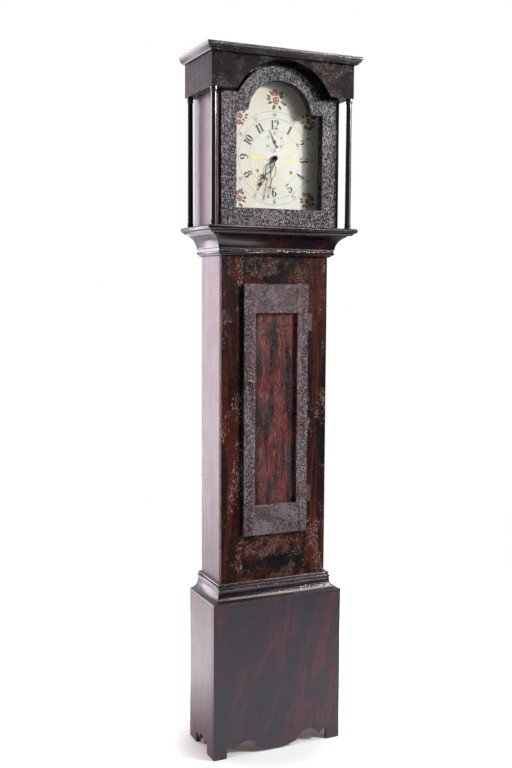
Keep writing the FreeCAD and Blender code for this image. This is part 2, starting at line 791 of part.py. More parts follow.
def make_plates():
    arbors = [
        (0, hub_z, arbor), (third_x, third_z, thin_arbor), (0, seconds_z, thin_arbor),
        (0, anchor_z, thin_arbor), (hammer_x, hammer_z, thin_arbor),
        (winding_x, winding_z, barrel_arbor), (-winding_x, winding_z, barrel_arbor),
    ]
    plates = {}
    for name, depth0 in (("movement_back_plate", back_plate_depth),
            ("movement_front_plate", front_plate_depth)):
        plate = board(-plate_half_width, plate_half_width, depth0, depth0 + plate_thickness,
            seat_top_z, plate_top_z)
        holes = [rod(x, z, depth0 - 1, depth0 + plate_thickness + 1, r + running) for x, z, r in arbors]
        plates[name] = plate.cut(holes)
    minute_hole = rod(minute_wheel_x, minute_wheel_z, front_plate_depth - 1, front_face + 1,
        minute_arbor + running)
    plates["movement_front_plate"] = plates["movement_front_plate"].cut(minute_hole)
    for name, plate in plates.items():
        save(name, plate)

    pillars = []
    upper_z = plate_top_z - pillar_drop
    middle = (plate_gap0 + plate_gap1) / 2
    for x, z in ((0, seat_top_z + 9), (-pillar_inset, upper_z), (pillar_inset, upper_z)):
        pieces = [rod(x, z, plate_gap0, plate_gap1, pillar_radius)]
        for start, end in ((plate_gap0, plate_gap0 + 6), (middle - 2.5, middle + 2.5),
                (plate_gap1 - 6, plate_gap1)):
            pieces.append(rod(x, z, start, end, pillar_collar))
        pillars.append(joined(pieces))
    for x in (-dial_foot_x, dial_foot_x):
        for z in (seat_top_z + 16, plate_top_z - 25):
            pillars.append(rod(x, z, front_face, dial_depth, dial_foot_radius))
    save("movement_pillars", group(pillars))


def make_dial():
    points = break_arch(sight_half_width + dial_margin, sight_bottom_z - dial_bottom_margin,
                        sight_shoulder_z + dial_shoulder_margin, sight_arch_radius + dial_arch_margin)
    dial = front_board(points, dial_depth, dial_front)
    holes = [
        rod(0, hub_z, dial_depth - 1, dial_front + 1, 7.0),
        rod(0, seconds_z, dial_depth - 1, dial_front + 1, 3.0),
        rod(winding_x, winding_z, dial_depth - 1, dial_front + 1, winding_hole),
        rod(-winding_x, winding_z, dial_depth - 1, dial_front + 1, winding_hole),
    ]
    save("dial", dial.cut(holes))


def hand_outline(length, x, z, loop, loop_half, cross, cross_half, stem):
    """An openwork hand pointing up: a long loop, a cross-piece and a leaf-shaped tip."""
    tip = z + length
    body = [
        (x + stem, z),
        (x + stem, z + loop[0]),
        (x + stem, z + loop[1], x + loop_half, z + (loop[0] + loop[1]) / 2),
        (x + stem, z + cross - 3),
        (x + cross_half, z + cross),
        (x + stem + 0.6, z + cross + 3),
        (x, tip, x + stem + 2.0, z + (cross + length) / 2 - 4),
        (x - stem - 0.6, z + cross + 3, x - stem - 2.0, z + (cross + length) / 2 - 4),
        (x - cross_half, z + cross),
        (x - stem, z + cross - 3),
        (x - stem, z + loop[0], x - loop_half, z + (loop[0] + loop[1]) / 2),
        (x - stem, z),
    ]
    inner = loop_half - 1.8
    gap0 = z + loop[0] + 4
    gap1 = z + loop[1] - 4
    middle = (gap0 + gap1) / 2
    window = [(x, gap1, x + inner, middle), (x, gap0, x - inner, middle)]
    return body, window


def make_hand(name, length, z, angle, hub_radius, bore, depth0, loop, loop_half, cross, cross_half, stem):
    body, window = hand_outline(length, 0, z, loop, loop_half, cross, cross_half, stem)
    depth1 = depth0 + hand_thickness
    hand = front_board(body, depth0, depth1).cut(front_board(window, depth0 - 1, depth1 + 1))
    collet = rod(0, z, depth0, depth1, hub_radius)
    hand = joined([hand, collet]).cut(rod(0, z, depth0 - 1, depth1 + 1, bore))
    hand.rotate(Vec(0, 0, z), Vec(0, 1, 0), angle)
    save(name, hand)


def make_hands():
    make_hand("hour_hand", hand_length_hour, hub_z, hand_angle_hour, 8.0, hour_pipe_radius, dial_front + 4,
              (14, 56), 11.0, 68, 11.0, 1.6)
    make_hand("minute_hand", hand_length_minute, hub_z, hand_angle_minute, 7.0, cannon_radius,
        dial_front + 9,
              (20, 66), 9.0, 90, 7.5, 1.4)
    depth0 = dial_front + 1.5
    depth1 = depth0 + hand_thickness
    tail = 16.0
    needle = front_board([(-1.1, seconds_z - tail), (1.1, seconds_z - tail),
                          (0.5, seconds_z + hand_length_seconds), (-0.5, seconds_z + hand_length_seconds)],
                         depth0, depth1)
    disc = rod(0, seconds_z - tail, depth0, depth1, 3.6)
    seconds = joined([needle, disc, rod(0, seconds_z, depth0, depth1, 5.0)])
    seconds = seconds.cut(rod(0, seconds_z, depth0 - 1, depth1 + 1, thin_arbor))
    seconds.rotate(Vec(0, 0, seconds_z), Vec(0, 1, 0), hand_angle_seconds)
    save("seconds_hand", seconds)


wheel_thickness = 2.5
great_depth = plate_gap0 + 48
strike_depth = plate_gap0 + 5
centre_depth = plate_gap0 + 37
third_depth = plate_gap0 + 21
escape_depth = plate_gap0 + 8
cannon_depth = front_face + 2
hour_depth = front_face + 6


def make_going_train():
    to_great = math.atan2(winding_z - hub_z, winding_x)
    pinion = toothed(0, hub_z, centre_pinion_teeth, great_module, great_depth - 1.5, great_depth + 4,
        to_great, True)
    to_third = math.atan2(third_z - hub_z, third_x)
    wheel = toothed(0, hub_z, centre_teeth, centre_module, centre_depth, centre_depth + 2, to_third)
    wheel = spoked(wheel, 0, hub_z, 24, 7, centre_depth, centre_depth + 2)
    centre_end = dial_front + 13
    shafts = [rod(0, hub_z, back_plate_depth - 2, front_face + 1, arbor),
        rod(0, hub_z, front_face, centre_end, centre_pivot)]
    to_minute = math.atan2(minute_wheel_z - hub_z, minute_wheel_x)
    cannon = toothed(0, hub_z, cannon_teeth, motion_module, cannon_depth, cannon_depth + 2, to_minute)
    pipe = rod(0, hub_z, cannon_depth, dial_front + 11, cannon_radius)
    save("centre_wheel", joined([pinion, wheel] + shafts))
    bore = rod(0, hub_z, cannon_depth - 1, dial_front + 20, centre_pivot)
    save("cannon_wheel", joined([cannon, pipe]).cut(bore))

    leaf_gap = toothed(third_x, third_z, third_pinion_teeth, centre_module, centre_depth - 1.5,
        centre_depth + 3.5,
                       to_third + math.pi, True)
    to_escape = math.atan2(seconds_z - third_z, -third_x)
    wheel = toothed(third_x, third_z, third_teeth, third_module, third_depth, third_depth + 2, to_escape)
    wheel = spoked(wheel, third_x, third_z, 20, 6, third_depth, third_depth + 2)
    shaft = rod(third_x, third_z, back_plate_depth, front_face, thin_arbor)
    save("third_wheel", joined([leaf_gap, wheel, shaft]))

    pinion = toothed(0, seconds_z, escape_pinion_teeth, third_module, third_depth - 1.5, third_depth + 3.5,
                     to_escape + math.pi, True)
    wheel = spoked(escape_wheel(), 0, seconds_z, 19, 6, escape_depth, escape_depth + 2)
    shaft = rod(0, seconds_z, back_plate_depth, dial_front + 3, thin_arbor)
    save("escape_wheel", joined([pinion, wheel, shaft]))


def escape_wheel():
    """Thirty hooked teeth that lean in the direction of turning."""
    step = 2 * math.pi / escape_teeth
    root = escape_radius - 4.0
    points = []
    for index in range(escape_teeth):
        angle = -index * step
        for radius, turn in ((root, 0.0), (escape_radius, -0.62 * step), (escape_radius, -0.70 * step),
                             (root + 0.5, -0.60 * step)):
            a = angle + turn
            points.append((radius * math.cos(a), seconds_z + radius * math.sin(a)))
    return front_board(points, escape_depth, escape_depth + 2)


def make_motion_work():
    to_minute = math.atan2(minute_wheel_z - hub_z, minute_wheel_x)
    x = minute_wheel_x
    z = minute_wheel_z
    wheel = toothed(x, z, minute_teeth, motion_module, cannon_depth, cannon_depth + 2,
        to_minute + math.pi, True)
    pinion = toothed(x, z, minute_pinion_teeth, hour_module, cannon_depth + 2, hour_depth + 3,
        to_minute + math.pi)
    shaft = rod(x, z, front_plate_depth - 1, hour_depth + 5, minute_arbor)
    save("minute_wheel", joined([wheel, pinion, shaft]))

    wheel = toothed(0, hub_z, hour_teeth, hour_module, hour_depth, hour_depth + 2, to_minute, True)
    wheel = spoked(wheel, 0, hub_z, 19, 8, hour_depth, hour_depth + 2)
    pipe = rod(0, hub_z, hour_depth, dial_front + 7, hour_pipe_radius)
    bore = rod(0, hub_z, hour_depth - 1, dial_front + 8, cannon_radius + running)
    save("hour_wheel", joined([wheel, pipe]).cut(bore))


def make_barrels():
    to_centre = math.atan2(hub_z - winding_z, -winding_x)
    great = toothed(winding_x, winding_z, great_teeth, great_module, great_depth,
        great_depth + wheel_thickness, to_centre)
    great = spoked(great, winding_x, winding_z, 54, 12, great_depth, great_depth + wheel_thickness)
    bore = rod(winding_x, winding_z, great_depth - 1, great_depth + 5, barrel_arbor + running)
    save("going_great_wheel", great.cut(bore))

    drum_depth0 = plate_gap0 + 11
    drum_depth1 = plate_gap0 + 45
    for name, x in (("going_barrel", winding_x), ("strike_barrel", -winding_x)):
        pieces = [
            rod(x, winding_z, drum_depth0, drum_depth1, drum_radius),
            rod(x, winding_z, back_plate_depth, front_face + 2, barrel_arbor),
            board(x - 2.3, x + 2.3, front_face, dial_depth - 1, winding_z - 2.3, winding_z + 2.3),
        ]
        if x > 0:
            ratchet = toothed(x, winding_z, 30, 1.7, drum_depth1, drum_depth1 + 1.6, 0)
            pieces.append(ratchet)
        else:
            depth1 = strike_depth + wheel_thickness
            strike = toothed(x, winding_z, 84, 1.5, strike_depth, depth1, 0)
            pieces.append(spoked(strike, x, winding_z, 54, 12, strike_depth, depth1))
            pieces.append(rod(x, winding_z, strike_depth, drum_depth0, 14))
        save(name, joined(pieces))


def make_anchor():
    depth0 = escape_depth - 1
    depth1 = escape_depth + 3
    reach = escape_radius + 3.0
    half_span = 43.0
    tip_x = reach * math.sin(math.radians(half_span))
    tip_z = seconds_z + reach * math.cos(math.radians(half_span))
    arms = both_sides([
        (0, anchor_z - 4),
        (tip_x - 3, tip_z + 5, tip_x - 9, tip_z + 10),
        (tip_x - 2, tip_z),
        (tip_x + 2.5, tip_z + 3),
        (0, anchor_z + 5, tip_x - 3, tip_z + 13),
    ])
    body = front_board(arms, depth0, depth1)
    hub = rod(0, anchor_z, depth0, depth1, 5)
    shaft = rod(0, anchor_z, pendulum_depth + 6, front_face, thin_arbor)
    crutch_end = anchor_z - 110
    crutch = board(-2, 2, pendulum_depth + 8, pendulum_depth + 9.5, crutch_end, anchor_z)
    boss = rod(0, anchor_z, pendulum_depth + 7, pendulum_depth + 10.5, 4)
    rod_half = 3.0
    fork_gap = rod_half + 0.3
    prongs = [board(-7, 7, pendulum_depth + 6.5, pendulum_depth + 9.5, crutch_end - 6, crutch_end + 2)]
    for x0, x1 in ((-7, -fork_gap), (fork_gap, 7)):
        prongs.append(board(x0, x1, pendulum_depth - 3, pendulum_depth + 7, crutch_end - 6, crutch_end))
    save("anchor", joined([body, hub, shaft, crutch, boss] + prongs))

    bar_depth0 = pendulum_depth - 2
    bar = board(-24, 24, bar_depth0, bar_depth0 + 4, anchor_z - 1, anchor_z + 14)
    feet = [board(x0, x0 + 7, bar_depth0, back_plate_depth, anchor_z - 1,
        anchor_z + 14) for x0 in (-24, 17)]
    chock = board(-8, 8, bar_depth0 - 3, bar_depth0, anchor_z + 2, anchor_z + 12)
    save("pendulum_cock", joined([bar, chock] + feet))


def make_pendulum():
    spring_top = anchor_z - 1.6
    spring_end = anchor_z - 30
    spring = board(-5, 5, pendulum_depth - 0.3, pendulum_depth + 0.3, spring_end - 3, spring_top)
    block = board(-5, 5, pendulum_depth - 2.5, pendulum_depth + 2.5, spring_end - 12, spring_end)
    low = pendulum_bob_z - bob_radius - 34
    flat = board(-3, 3, pendulum_depth - 1.5, pendulum_depth + 1.5, low + 30, spring_end - 10)
    screw = post(0, pendulum_depth, low, low + 32, 2.0)
    save("pendulum_rod", joined([spring, block, flat, screw]))

    half = bob_thickness / 2
    section = [
        (0, -half),
        (bob_radius, -1, bob_radius * 0.62, -half * 0.75),
        (bob_radius, 1),
        (0, half, bob_radius * 0.62, half * 0.75),
    ]
    wire = outline(section, lambda a, b: Vec(a, depth(pendulum_depth) - b, pendulum_bob_z))
    bob = Part.Face(wire).revolve(Vec(0, depth(pendulum_depth), pendulum_bob_z), Vec(0, 1, 0), 360)
    slot = board(-3, 3, pendulum_depth - 1.5, pendulum_depth + 1.5, pendulum_bob_z - bob_radius - 1,
                 pendulum_bob_z + bob_radius + 1)
    save("pendulum_bob", bob.cut(slot))
    nut_z = low + 22
    nut = post(0, pendulum_depth, nut_z, nut_z + 7, 10).cut(post(0, pendulum_depth, nut_z - 1,
        nut_z + 8, 2.0))
    save("rating_nut", nut)


def make_weight(name, x):
    """An iron weight, its hook and the pulley's stirrup, a pulley, and the two runs of its gut line."""
    bottom = weight_top_z - weight_height
    chamfer = 5.0
    half = [(0, bottom), (weight_radius - chamfer, bottom), (weight_radius, bottom + chamfer),
            (weight_radius, weight_top_z - chamfer), (weight_radius - chamfer, weight_top_z), (0,
                weight_top_z)]
    wire = outline(half, lambda a, b: Vec(x + a, depth(weight_depth), b))
    cylinder = Part.Face(wire).revolve(Vec(x, depth(weight_depth), 0), Vec(0, 0, 1), 360)
    pulley_half = 4.5
    outer_radius = drum_radius + 3.0
    cheek_gap = pulley_half + 0.5
    cheek = 1.8
    bridge_z = pulley_z - outer_radius - 5
    pieces = [cylinder, post(x, weight_depth, weight_top_z - 1, bridge_z + 3, 3.5)]
    for depth0 in (weight_depth - cheek_gap - cheek, weight_depth + cheek_gap):
        pieces.append(board(x - 6, x + 6, depth0, depth0 + cheek, bridge_z, pulley_z + 7))
    pieces.append(board(x - 6, x + 6, weight_depth - cheek_gap - cheek, weight_depth + cheek_gap + cheek,
                        bridge_z, bridge_z + 3))
    pin = 2.0
    pieces.append(rod(x, pulley_z, weight_depth - cheek_gap - cheek, weight_depth + cheek_gap + cheek, pin))
    save(name + "_weight", joined(pieces))

    groove = [
        (pin + running, -pulley_half),
        (outer_radius, -pulley_half),
        (outer_radius, -2.6),
        (outer_radius, 2.6, drum_radius - 0.3, 0),
        (outer_radius, pulley_half),
        (pin + running, pulley_half),
    ]
    wire = outline(groove, lambda a, b: Vec(x + a, depth(weight_depth) - b, pulley_z))
    pulley = Part.Face(wire).revolve(Vec(x, 0, pulley_z), Vec(0, 1, 0), 360)
    save(name + "_pulley", pulley)

    runs = [post(x + sign * line_offset, weight_depth, pulley_z, seat_top_z,
        line_radius) for sign in (-1, 1)]
    save(name + "_line", group(runs))


def make_bell():
    wall = 2.5
    height = 34.0
    top = bell_z + height
    hole = 3.6
    section = [
        (hole, top),
        (9, top),
        (bell_radius, bell_z, bell_radius * 0.80, bell_z + height * 0.66),
        (bell_radius - wall, bell_z),
        (9, top - wall, (bell_radius - wall) * 0.79, bell_z + (height - wall) * 0.66),
        (hole, top - wall),
    ]
    wire = outline(section, lambda a, b: Vec(a, depth(bell_depth), b))
    save("bell", Part.Face(wire).revolve(Vec(0, depth(bell_depth), 0), Vec(0, 0, 1), 360))

    foot_x = 30.0
    stand_z = bell_z - 16
    pieces = [
        board(foot_x - 6, foot_x + 6, back_plate_depth - 3, back_plate_depth, plate_top_z - 16,
            stand_z + 4),
        board(-4, foot_x + 6, back_plate_depth - 3, bell_depth + 4, stand_z, stand_z + 4),
        post(0, bell_depth, stand_z, top + 6, hole),
        post(0, bell_depth, top, top + 5, 7),
    ]
    save("bell_stand", joined(pieces))

    arm_x = hammer_x
    head_z = bell_z + 6
    shaft = rod(hammer_x, hammer_z, back_plate_depth, front_face, thin_arbor)
    boss = rod(hammer_x, hammer_z, bell_depth - 4, bell_depth + 4, 4.5)
    arm = board(arm_x - 1.5, arm_x + 1.5, bell_depth - 2, bell_depth + 2, hammer_z, head_z)
    head = Part.makeCylinder(5.5, 13, Vec(arm_x - 4.5, depth(bell_depth), head_z), Vec(1, 0, 0))
    save("hammer", joined([shaft, boss, arm, head]))


make_base()
make_waist()
make_waist_door()
make_waist_hinges()
make_hood()
make_hood_door()
make_plates()
make_dial()
make_hands()
make_going_train()
make_motion_work()
make_barrels()
make_anchor()
make_pendulum()
make_weight("going", winding_x)
make_weight("strike", -winding_x)
make_bell()
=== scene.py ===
# %% [markdown]
# # A longcase clock with a painted dial
# The clock is a tall pine case, grained in red and black paint to look like rosewood, with a
# weight-driven movement behind a painted iron dial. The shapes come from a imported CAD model.
# This lesson puts the camera and lamps up, mixes the finishes, eases the edges of the woodwork,
# and adds the fine work that the model leaves out: figures, flowers, pierced hands, nails, cord.

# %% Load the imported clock
import json
import math
import random

import bmesh
import bpy
from mathutils import Matrix, Vector


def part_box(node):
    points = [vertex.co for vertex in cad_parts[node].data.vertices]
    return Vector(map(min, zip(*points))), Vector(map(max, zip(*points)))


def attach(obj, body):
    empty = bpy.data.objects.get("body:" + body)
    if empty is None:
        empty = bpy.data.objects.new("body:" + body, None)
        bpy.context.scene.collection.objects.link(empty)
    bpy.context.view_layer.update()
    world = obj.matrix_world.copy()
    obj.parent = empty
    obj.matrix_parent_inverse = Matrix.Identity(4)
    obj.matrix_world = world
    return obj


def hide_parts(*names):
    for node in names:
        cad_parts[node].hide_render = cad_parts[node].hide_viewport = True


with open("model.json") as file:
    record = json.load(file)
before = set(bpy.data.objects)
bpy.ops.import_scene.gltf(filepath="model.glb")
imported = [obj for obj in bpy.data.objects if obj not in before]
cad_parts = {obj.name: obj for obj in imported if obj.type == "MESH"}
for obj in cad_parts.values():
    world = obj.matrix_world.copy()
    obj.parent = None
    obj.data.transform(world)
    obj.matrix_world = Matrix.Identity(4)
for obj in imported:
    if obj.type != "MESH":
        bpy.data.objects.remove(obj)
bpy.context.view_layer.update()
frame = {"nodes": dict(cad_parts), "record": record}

scene = bpy.context.scene

# %% [markdown]
# ## Camera
# A tall piece of furniture is best seen from a little above the middle, turned to show its front
# and its left side. Three turns aim the camera: round the upright, then down, then a trace of
# roll. A long lens could flatten the clock, and this short one keeps its stance.

# %% Set the camera
camera = bpy.data.objects.new("camera", bpy.data.cameras.new("camera"))
scene.collection.objects.link(camera)
scene.camera = camera
camera.data.lens = 46.7
aim = Matrix.Rotation(math.radians(-24.45), 4, "Z") @ Matrix.Rotation(math.radians(84.64), 4, "X")
camera.matrix_world = (
    Matrix.Translation((-1.3111, -2.7872, 1.4297)) @ aim @ Matrix.Rotation(0.005, 4, "Z")
)
print("camera stands", round(camera.location.length, 2), "m from the foot of the clock")

# %% [markdown]
# ## Lamps and room
# Black paint shows its shape by what it reflects. A small key lamp high on the right throws the
# shadows of the door and the hood. A tall window beside it gives the fronts a soft sheen, a long
# ceiling lamp lights the beads, and a broad pale wall behind on the left whitens the left sides
# at a glancing angle. The room is pale behind the clock and dim in front, so the front stays deep.

# %% Hang the lamps
def lamp(name, place, target, width, height, power, colour=(1, 1, 1)):
    """A soft box at place, facing target."""
    light = bpy.data.lights.new(name, "AREA")
    light.shape = "RECTANGLE"
    light.size = width
    light.size_y = height
    light.energy = power
    light.color = colour
    holder = bpy.data.objects.new(name, light)
    scene.collection.objects.link(holder)
    facing = (Vector(target) - Vector(place)).to_track_quat("-Z", "Y")
    holder.matrix_world = Matrix.Translation(place) @ facing.to_matrix().to_4x4()
    holder.visible_camera = False
    return holder


lamp("key", (2.6, -2.1, 2.8), (0, -0.1, 1.3), 0.35, 0.5, 140)
lamp("window", (2.45, -2.5, 2.2), (0, -0.1, 1.5), 0.7, 1.5, 28)
lamp("left wall", (-2.1, 2.9, 1.5), (-0.2, 0, 1.2), 2.8, 3.6, 140, (1, 0.86, 0.97))
lamp("ceiling", (0.9, -0.6, 3.7), (0, -0.1, 0.9), 1.2, 2.4, 60)
scene.view_settings.view_transform = "Standard"

# %% [markdown]
# ## Node shorthand
# Every finish here is a tree of nodes. Small helpers keep the trees readable: one adds any
# node and joins its inputs, one does sums, one spreads a narrow range of a pattern over 0 to 1,
# and one lays one colour over another through a mask.

# %% Helpers for nodes
def add(tree, kind, inputs=None, **settings):
    """A new node; inputs are sockets to join or plain values, by name or number."""
    made = tree.nodes.new("ShaderNode" + kind)
    for key, value in settings.items():
        setattr(made, key, value)
    for key, value in (inputs or {}).items():
        if isinstance(value, bpy.types.NodeSocket):
            tree.links.new(value, made.inputs[key])
        else:
            made.inputs[key].default_value = value
    return made


def sums(tree, operation, *values):
    return add(tree, "Math", dict(enumerate(values)), operation=operation).outputs[0]


def times(tree, a, b):
    return sums(tree, "MULTIPLY", a, b)


def plus(tree, a, b):
    return sums(tree, "ADD", a, b)


def spread(tree, value, low, high, start=0.0, end=1.0):
    """Smoothly takes low..high of a pattern to start..end."""
    values = {"Value": value, "From Min": low, "From Max": high, "To Min": start, "To Max": end}
    return add(tree, "MapRange", values, interpolation_type="SMOOTHSTEP").outputs[0]


def lay(tree, mask, under, over, way="MIX"):
    """The colour over laid on under where mask is 1."""
    values = {0: mask, 6: under, 7: over}
    return add(tree, "Mix", values, data_type="RGBA", blend_type=way).outputs[2]


def cloud(tree, vector, scale, detail=3.0, rough=0.55, warp=0.0):
    """Plain noise, 0 to 1."""
    values = {"Vector": vector, "Scale": scale, "Detail": detail, "Roughness": rough, "Distortion": warp}
    return add(tree, "TexNoise", values).outputs["Fac"]


def rgb(red, green, blue):
    return (red, green, blue, 1.0)


def stretched(tree, vector, x, y, z):
    return add(tree, "VectorMath", {0: vector, 1: (x, y, z)}, operation="MULTIPLY").outputs[0]


# %% [markdown]
# ## The world outside the lamps
# The background is white to the camera. For all other rays it is a gradient, pale behind the
# clock and to its left and dim in front, as in a studio with one white wall.

# %% Paint the room
world = bpy.data.worlds.new("studio")
scene.world = world
world.use_nodes = True
room = world.node_tree
room.nodes.clear()
way = add(room, "TexCoord").outputs["Generated"]
toward = add(room, "SeparateXYZ", {0: way}).outputs
depthwise = spread(room, toward["Y"], -0.1, 0.9, 0.03, 0.75)
sideways = spread(room, toward["X"], 0.0, -0.9, 0.0, 0.12)
ambient = add(room, "Background", {"Strength": plus(room, depthwise, sideways)})
backdrop = add(room, "Background", {"Strength": 1.0})
backdrop.inputs["Color"].default_value = rgb(1, 1, 1)
ambient.inputs["Color"].default_value = rgb(0.95, 0.95, 1)
seen = add(room, "LightPath").outputs["Is Camera Ray"]
both = add(room, "MixShader", {0: seen, 1: ambient.outputs[0], 2: backdrop.outputs[0]})
room.links.new(both.outputs[0], add(room, "OutputWorld").inputs["Surface"])
print("room nodes:", len(room.nodes))

# %% [markdown]
# ## Groups for paint on old wood
# Several finishes share four effects, so each is a node group that is built once. *Graining* is
# the figure a painter draws with brush and comb. *Crackle* is the net of fine cracks in old
# varnish, pale where they hold dust, with pale flecks that are partly spots in the varnish and
# partly painted glints, the lamps' highlights put into the colour. *Rubbed edges* finds corners
# with the Bevel node, whose normal differs from the true one only near an edge. *Dust* settles
# where a face looks up.

# %% A helper that opens a group
def open_group(name, takes, gives):
    """A shader group; takes maps input names to defaults, gives lists the output names."""
    tree = bpy.data.node_groups.new(name, "ShaderNodeTree")
    for title, value in takes.items():
        kind = "NodeSocketVector" if value is None else "NodeSocketFloat"
        socket = tree.interface.new_socket(title, in_out="INPUT", socket_type=kind)
        if value is not None:
            socket.default_value = value
    for title in gives:
        tree.interface.new_socket(title, in_out="OUTPUT", socket_type="NodeSocketFloat")
    return tree, tree.nodes.new("NodeGroupInput").outputs, tree.nodes.new("NodeGroupOutput").inputs


def use(tree, group, **inputs):
    """The outputs of a group placed in tree, with its own values."""
    made = tree.nodes.new("ShaderNodeGroup")
    made.node_tree = group
    for key, value in inputs.items():
        if isinstance(value, bpy.types.NodeSocket):
            tree.links.new(value, made.inputs[key])
        else:
            made.inputs[key].default_value = value
    return made.outputs


# %% Graining: the grain runs along Z of its Vector
graining, given, wanted = open_group(
    "graining",
    {"Vector": None, "Bands": 9.0, "Squeeze": 0.12, "Wander": 0.6},
    ["Figure", "Strokes"],
)
shape = add(graining, "CombineXYZ", {0: 1.0, 1: 1.0, 2: given["Squeeze"]}).outputs[0]
drawn = add(graining, "VectorMath", {0: given["Vector"], 1: shape}, operation="MULTIPLY").outputs[0]
field = cloud(graining, drawn, given["Bands"], 2.0, 0.5, given["Wander"])
ripple = sums(graining, "SINE", times(graining, field, 46.0))
broad = spread(graining, cloud(graining, drawn, given["Bands"], 1.0, 0.5), 0.38, 0.62)
rings = spread(graining, ripple, -0.5, 0.9)
fine = stretched(graining, given["Vector"], 1, 1, 0.05)
hairs = cloud(graining, fine, 620.0, 4.0, 0.7)
strokes = spread(graining, hairs, 0.36, 0.66)
ringed = plus(graining, times(graining, rings, 0.55), 0.2)
figure = times(graining, ringed, broad)
brushed = times(graining, figure, plus(graining, strokes, 0.35))
graining.links.new(brushed, wanted["Figure"])
graining.links.new(strokes, wanted["Strokes"])

# %% Crackle: cells of old varnish, cracks between them, and pale flecks that partly paint glints
crackle, given, wanted = open_group(
    "crackle",
    {"Vector": None, "Cells": 210.0, "Squeeze": 0.6, "Flecks": 0.5, "Clumps": 0.16},
    ["Cracks", "Flecks", "Height"],
)
shape = add(crackle, "CombineXYZ", {0: 1.0, 1: 1.0, 2: given["Squeeze"]}).outputs[0]
drawn = add(crackle, "VectorMath", {0: given["Vector"], 1: shape}, operation="MULTIPLY").outputs[0]
jitter = add(crackle, "TexNoise", {"Vector": drawn, "Scale": 150.0, "Detail": 2.0}).outputs["Color"]
shaken = add(
    crackle, "VectorMath", {0: jitter, 1: (0.006, 0.006, 0.006), 2: drawn}, operation="MULTIPLY_ADD"
).outputs[0]
cells = {"Vector": shaken, "Scale": given["Cells"]}
gap = add(crackle, "TexVoronoi", cells, feature="DISTANCE_TO_EDGE").outputs["Distance"]
cracks = spread(crackle, gap, 0.16, 0.04)
drawn_out = stretched(crackle, given["Vector"], 1, 1, 0.4)
patchy = spread(crackle, cloud(crackle, drawn_out, 16.0, 6.0, 0.65), 0.46, 0.58)
# The pale flecks are partly spots in the old varnish and partly painted glints: the lamps' highlights on
# the crackled surface, put into the colour.
speck = cloud(crackle, drawn, times(crackle, given["Cells"], 1.3), 3.0, 0.62)
level = sums(crackle, "SUBTRACT", 0.80, times(crackle, given["Flecks"], 0.22))
raised = plus(crackle, speck, times(crackle, patchy, given["Clumps"]))
above = sums(crackle, "SUBTRACT", raised, level)
flecks_and_glints = spread(crackle, above, 0.0, 0.09)
broken = times(crackle, cracks, plus(crackle, patchy, 0.25))
crackle.links.new(broken, wanted["Cracks"])
crackle.links.new(flecks_and_glints, wanted["Flecks"])
sunk = sums(crackle, "SUBTRACT", speck, times(crackle, cracks, 0.5))
crackle.links.new(sunk, wanted["Height"])

# %% Rubbed edges: paint worn through on corners
rubbed, given, wanted = open_group("rubbed edges", {"Vector": None, "Reach": 0.0025}, ["Mask"])
soft = add(rubbed, "Bevel", {"Radius": given["Reach"]}, samples=6).outputs[0]
true = add(rubbed, "NewGeometry").outputs["Normal"]
agree = add(rubbed, "VectorMath", {0: soft, 1: true}, operation="DOT_PRODUCT").outputs["Value"]
corner = spread(rubbed, agree, 0.985, 0.80)
chance = spread(rubbed, cloud(rubbed, given["Vector"], 60.0, 5.0, 0.65), 0.42, 0.62)
rubbed.links.new(times(rubbed, corner, chance), wanted["Mask"])

# %% Dust: settles on faces that look up
dust, given, wanted = open_group("dust", {"Vector": None, "Depth": 0.5}, ["Mask"])
upward = add(dust, "SeparateXYZ", {0: add(dust, "NewGeometry").outputs["Normal"]}).outputs["Z"]
flat = spread(dust, upward, 0.35, 0.95)
drift = spread(dust, cloud(dust, given["Vector"], 38.0, 5.0, 0.7), 0.35, 0.7)
drifted = times(dust, flat, drift)
dust.links.new(times(dust, drifted, given["Depth"]), wanted["Mask"])
print("groups:", [tree.name for tree in bpy.data.node_groups])

# %% [markdown]
# ## Starting a finish
# A finish is a Principled shader with a pattern on its colour, its roughness and its bump. The
# coordinates are the clock's own metres, so that a band of figure crosses a joint between two
# boards only where the painter drew it. Steady values sit on the shader itself.

# %% Open a new finish
def finish(name, **steady):
    """A material with one Principled shader; steady values are set on its own sockets."""
    material = bpy.data.materials.new(name)
    material.use_nodes = True
    shader = material.node_tree.nodes["Principled BSDF"]
    for key, value in steady.items():
        shader.inputs[key.replace("_", " ")].default_value = value
    here = add(material.node_tree, "TexCoord").outputs["Object"]
    return material, material.node_tree, shader, here


def dress(tree, shader, colour=None, roughness=None, height=None, depth=0.0004, strength=0.6):
    """Joins the patterns to the shader; height goes through a Bump node."""
    if colour is not None:
        tree.links.new(colour, shader.inputs["Base Color"])
    if roughness is not None:
        tree.links.new(roughness, shader.inputs["Roughness"])
    if height is not None:
        bump = add(tree, "Bump", {"Height": height, "Strength": strength, "Distance": depth})
        tree.links.new(bump.outputs[0], shader.inputs["Normal"])


# %% [markdown]
# ## Which way the grain runs
# On stiles and sides the painter pulled the brush upward, on rails and mouldings along them, and
# on the foot of the case on the slant. A moulding turns the corner, so its grain follows x plus
# y, which grows along the front and along the side alike.

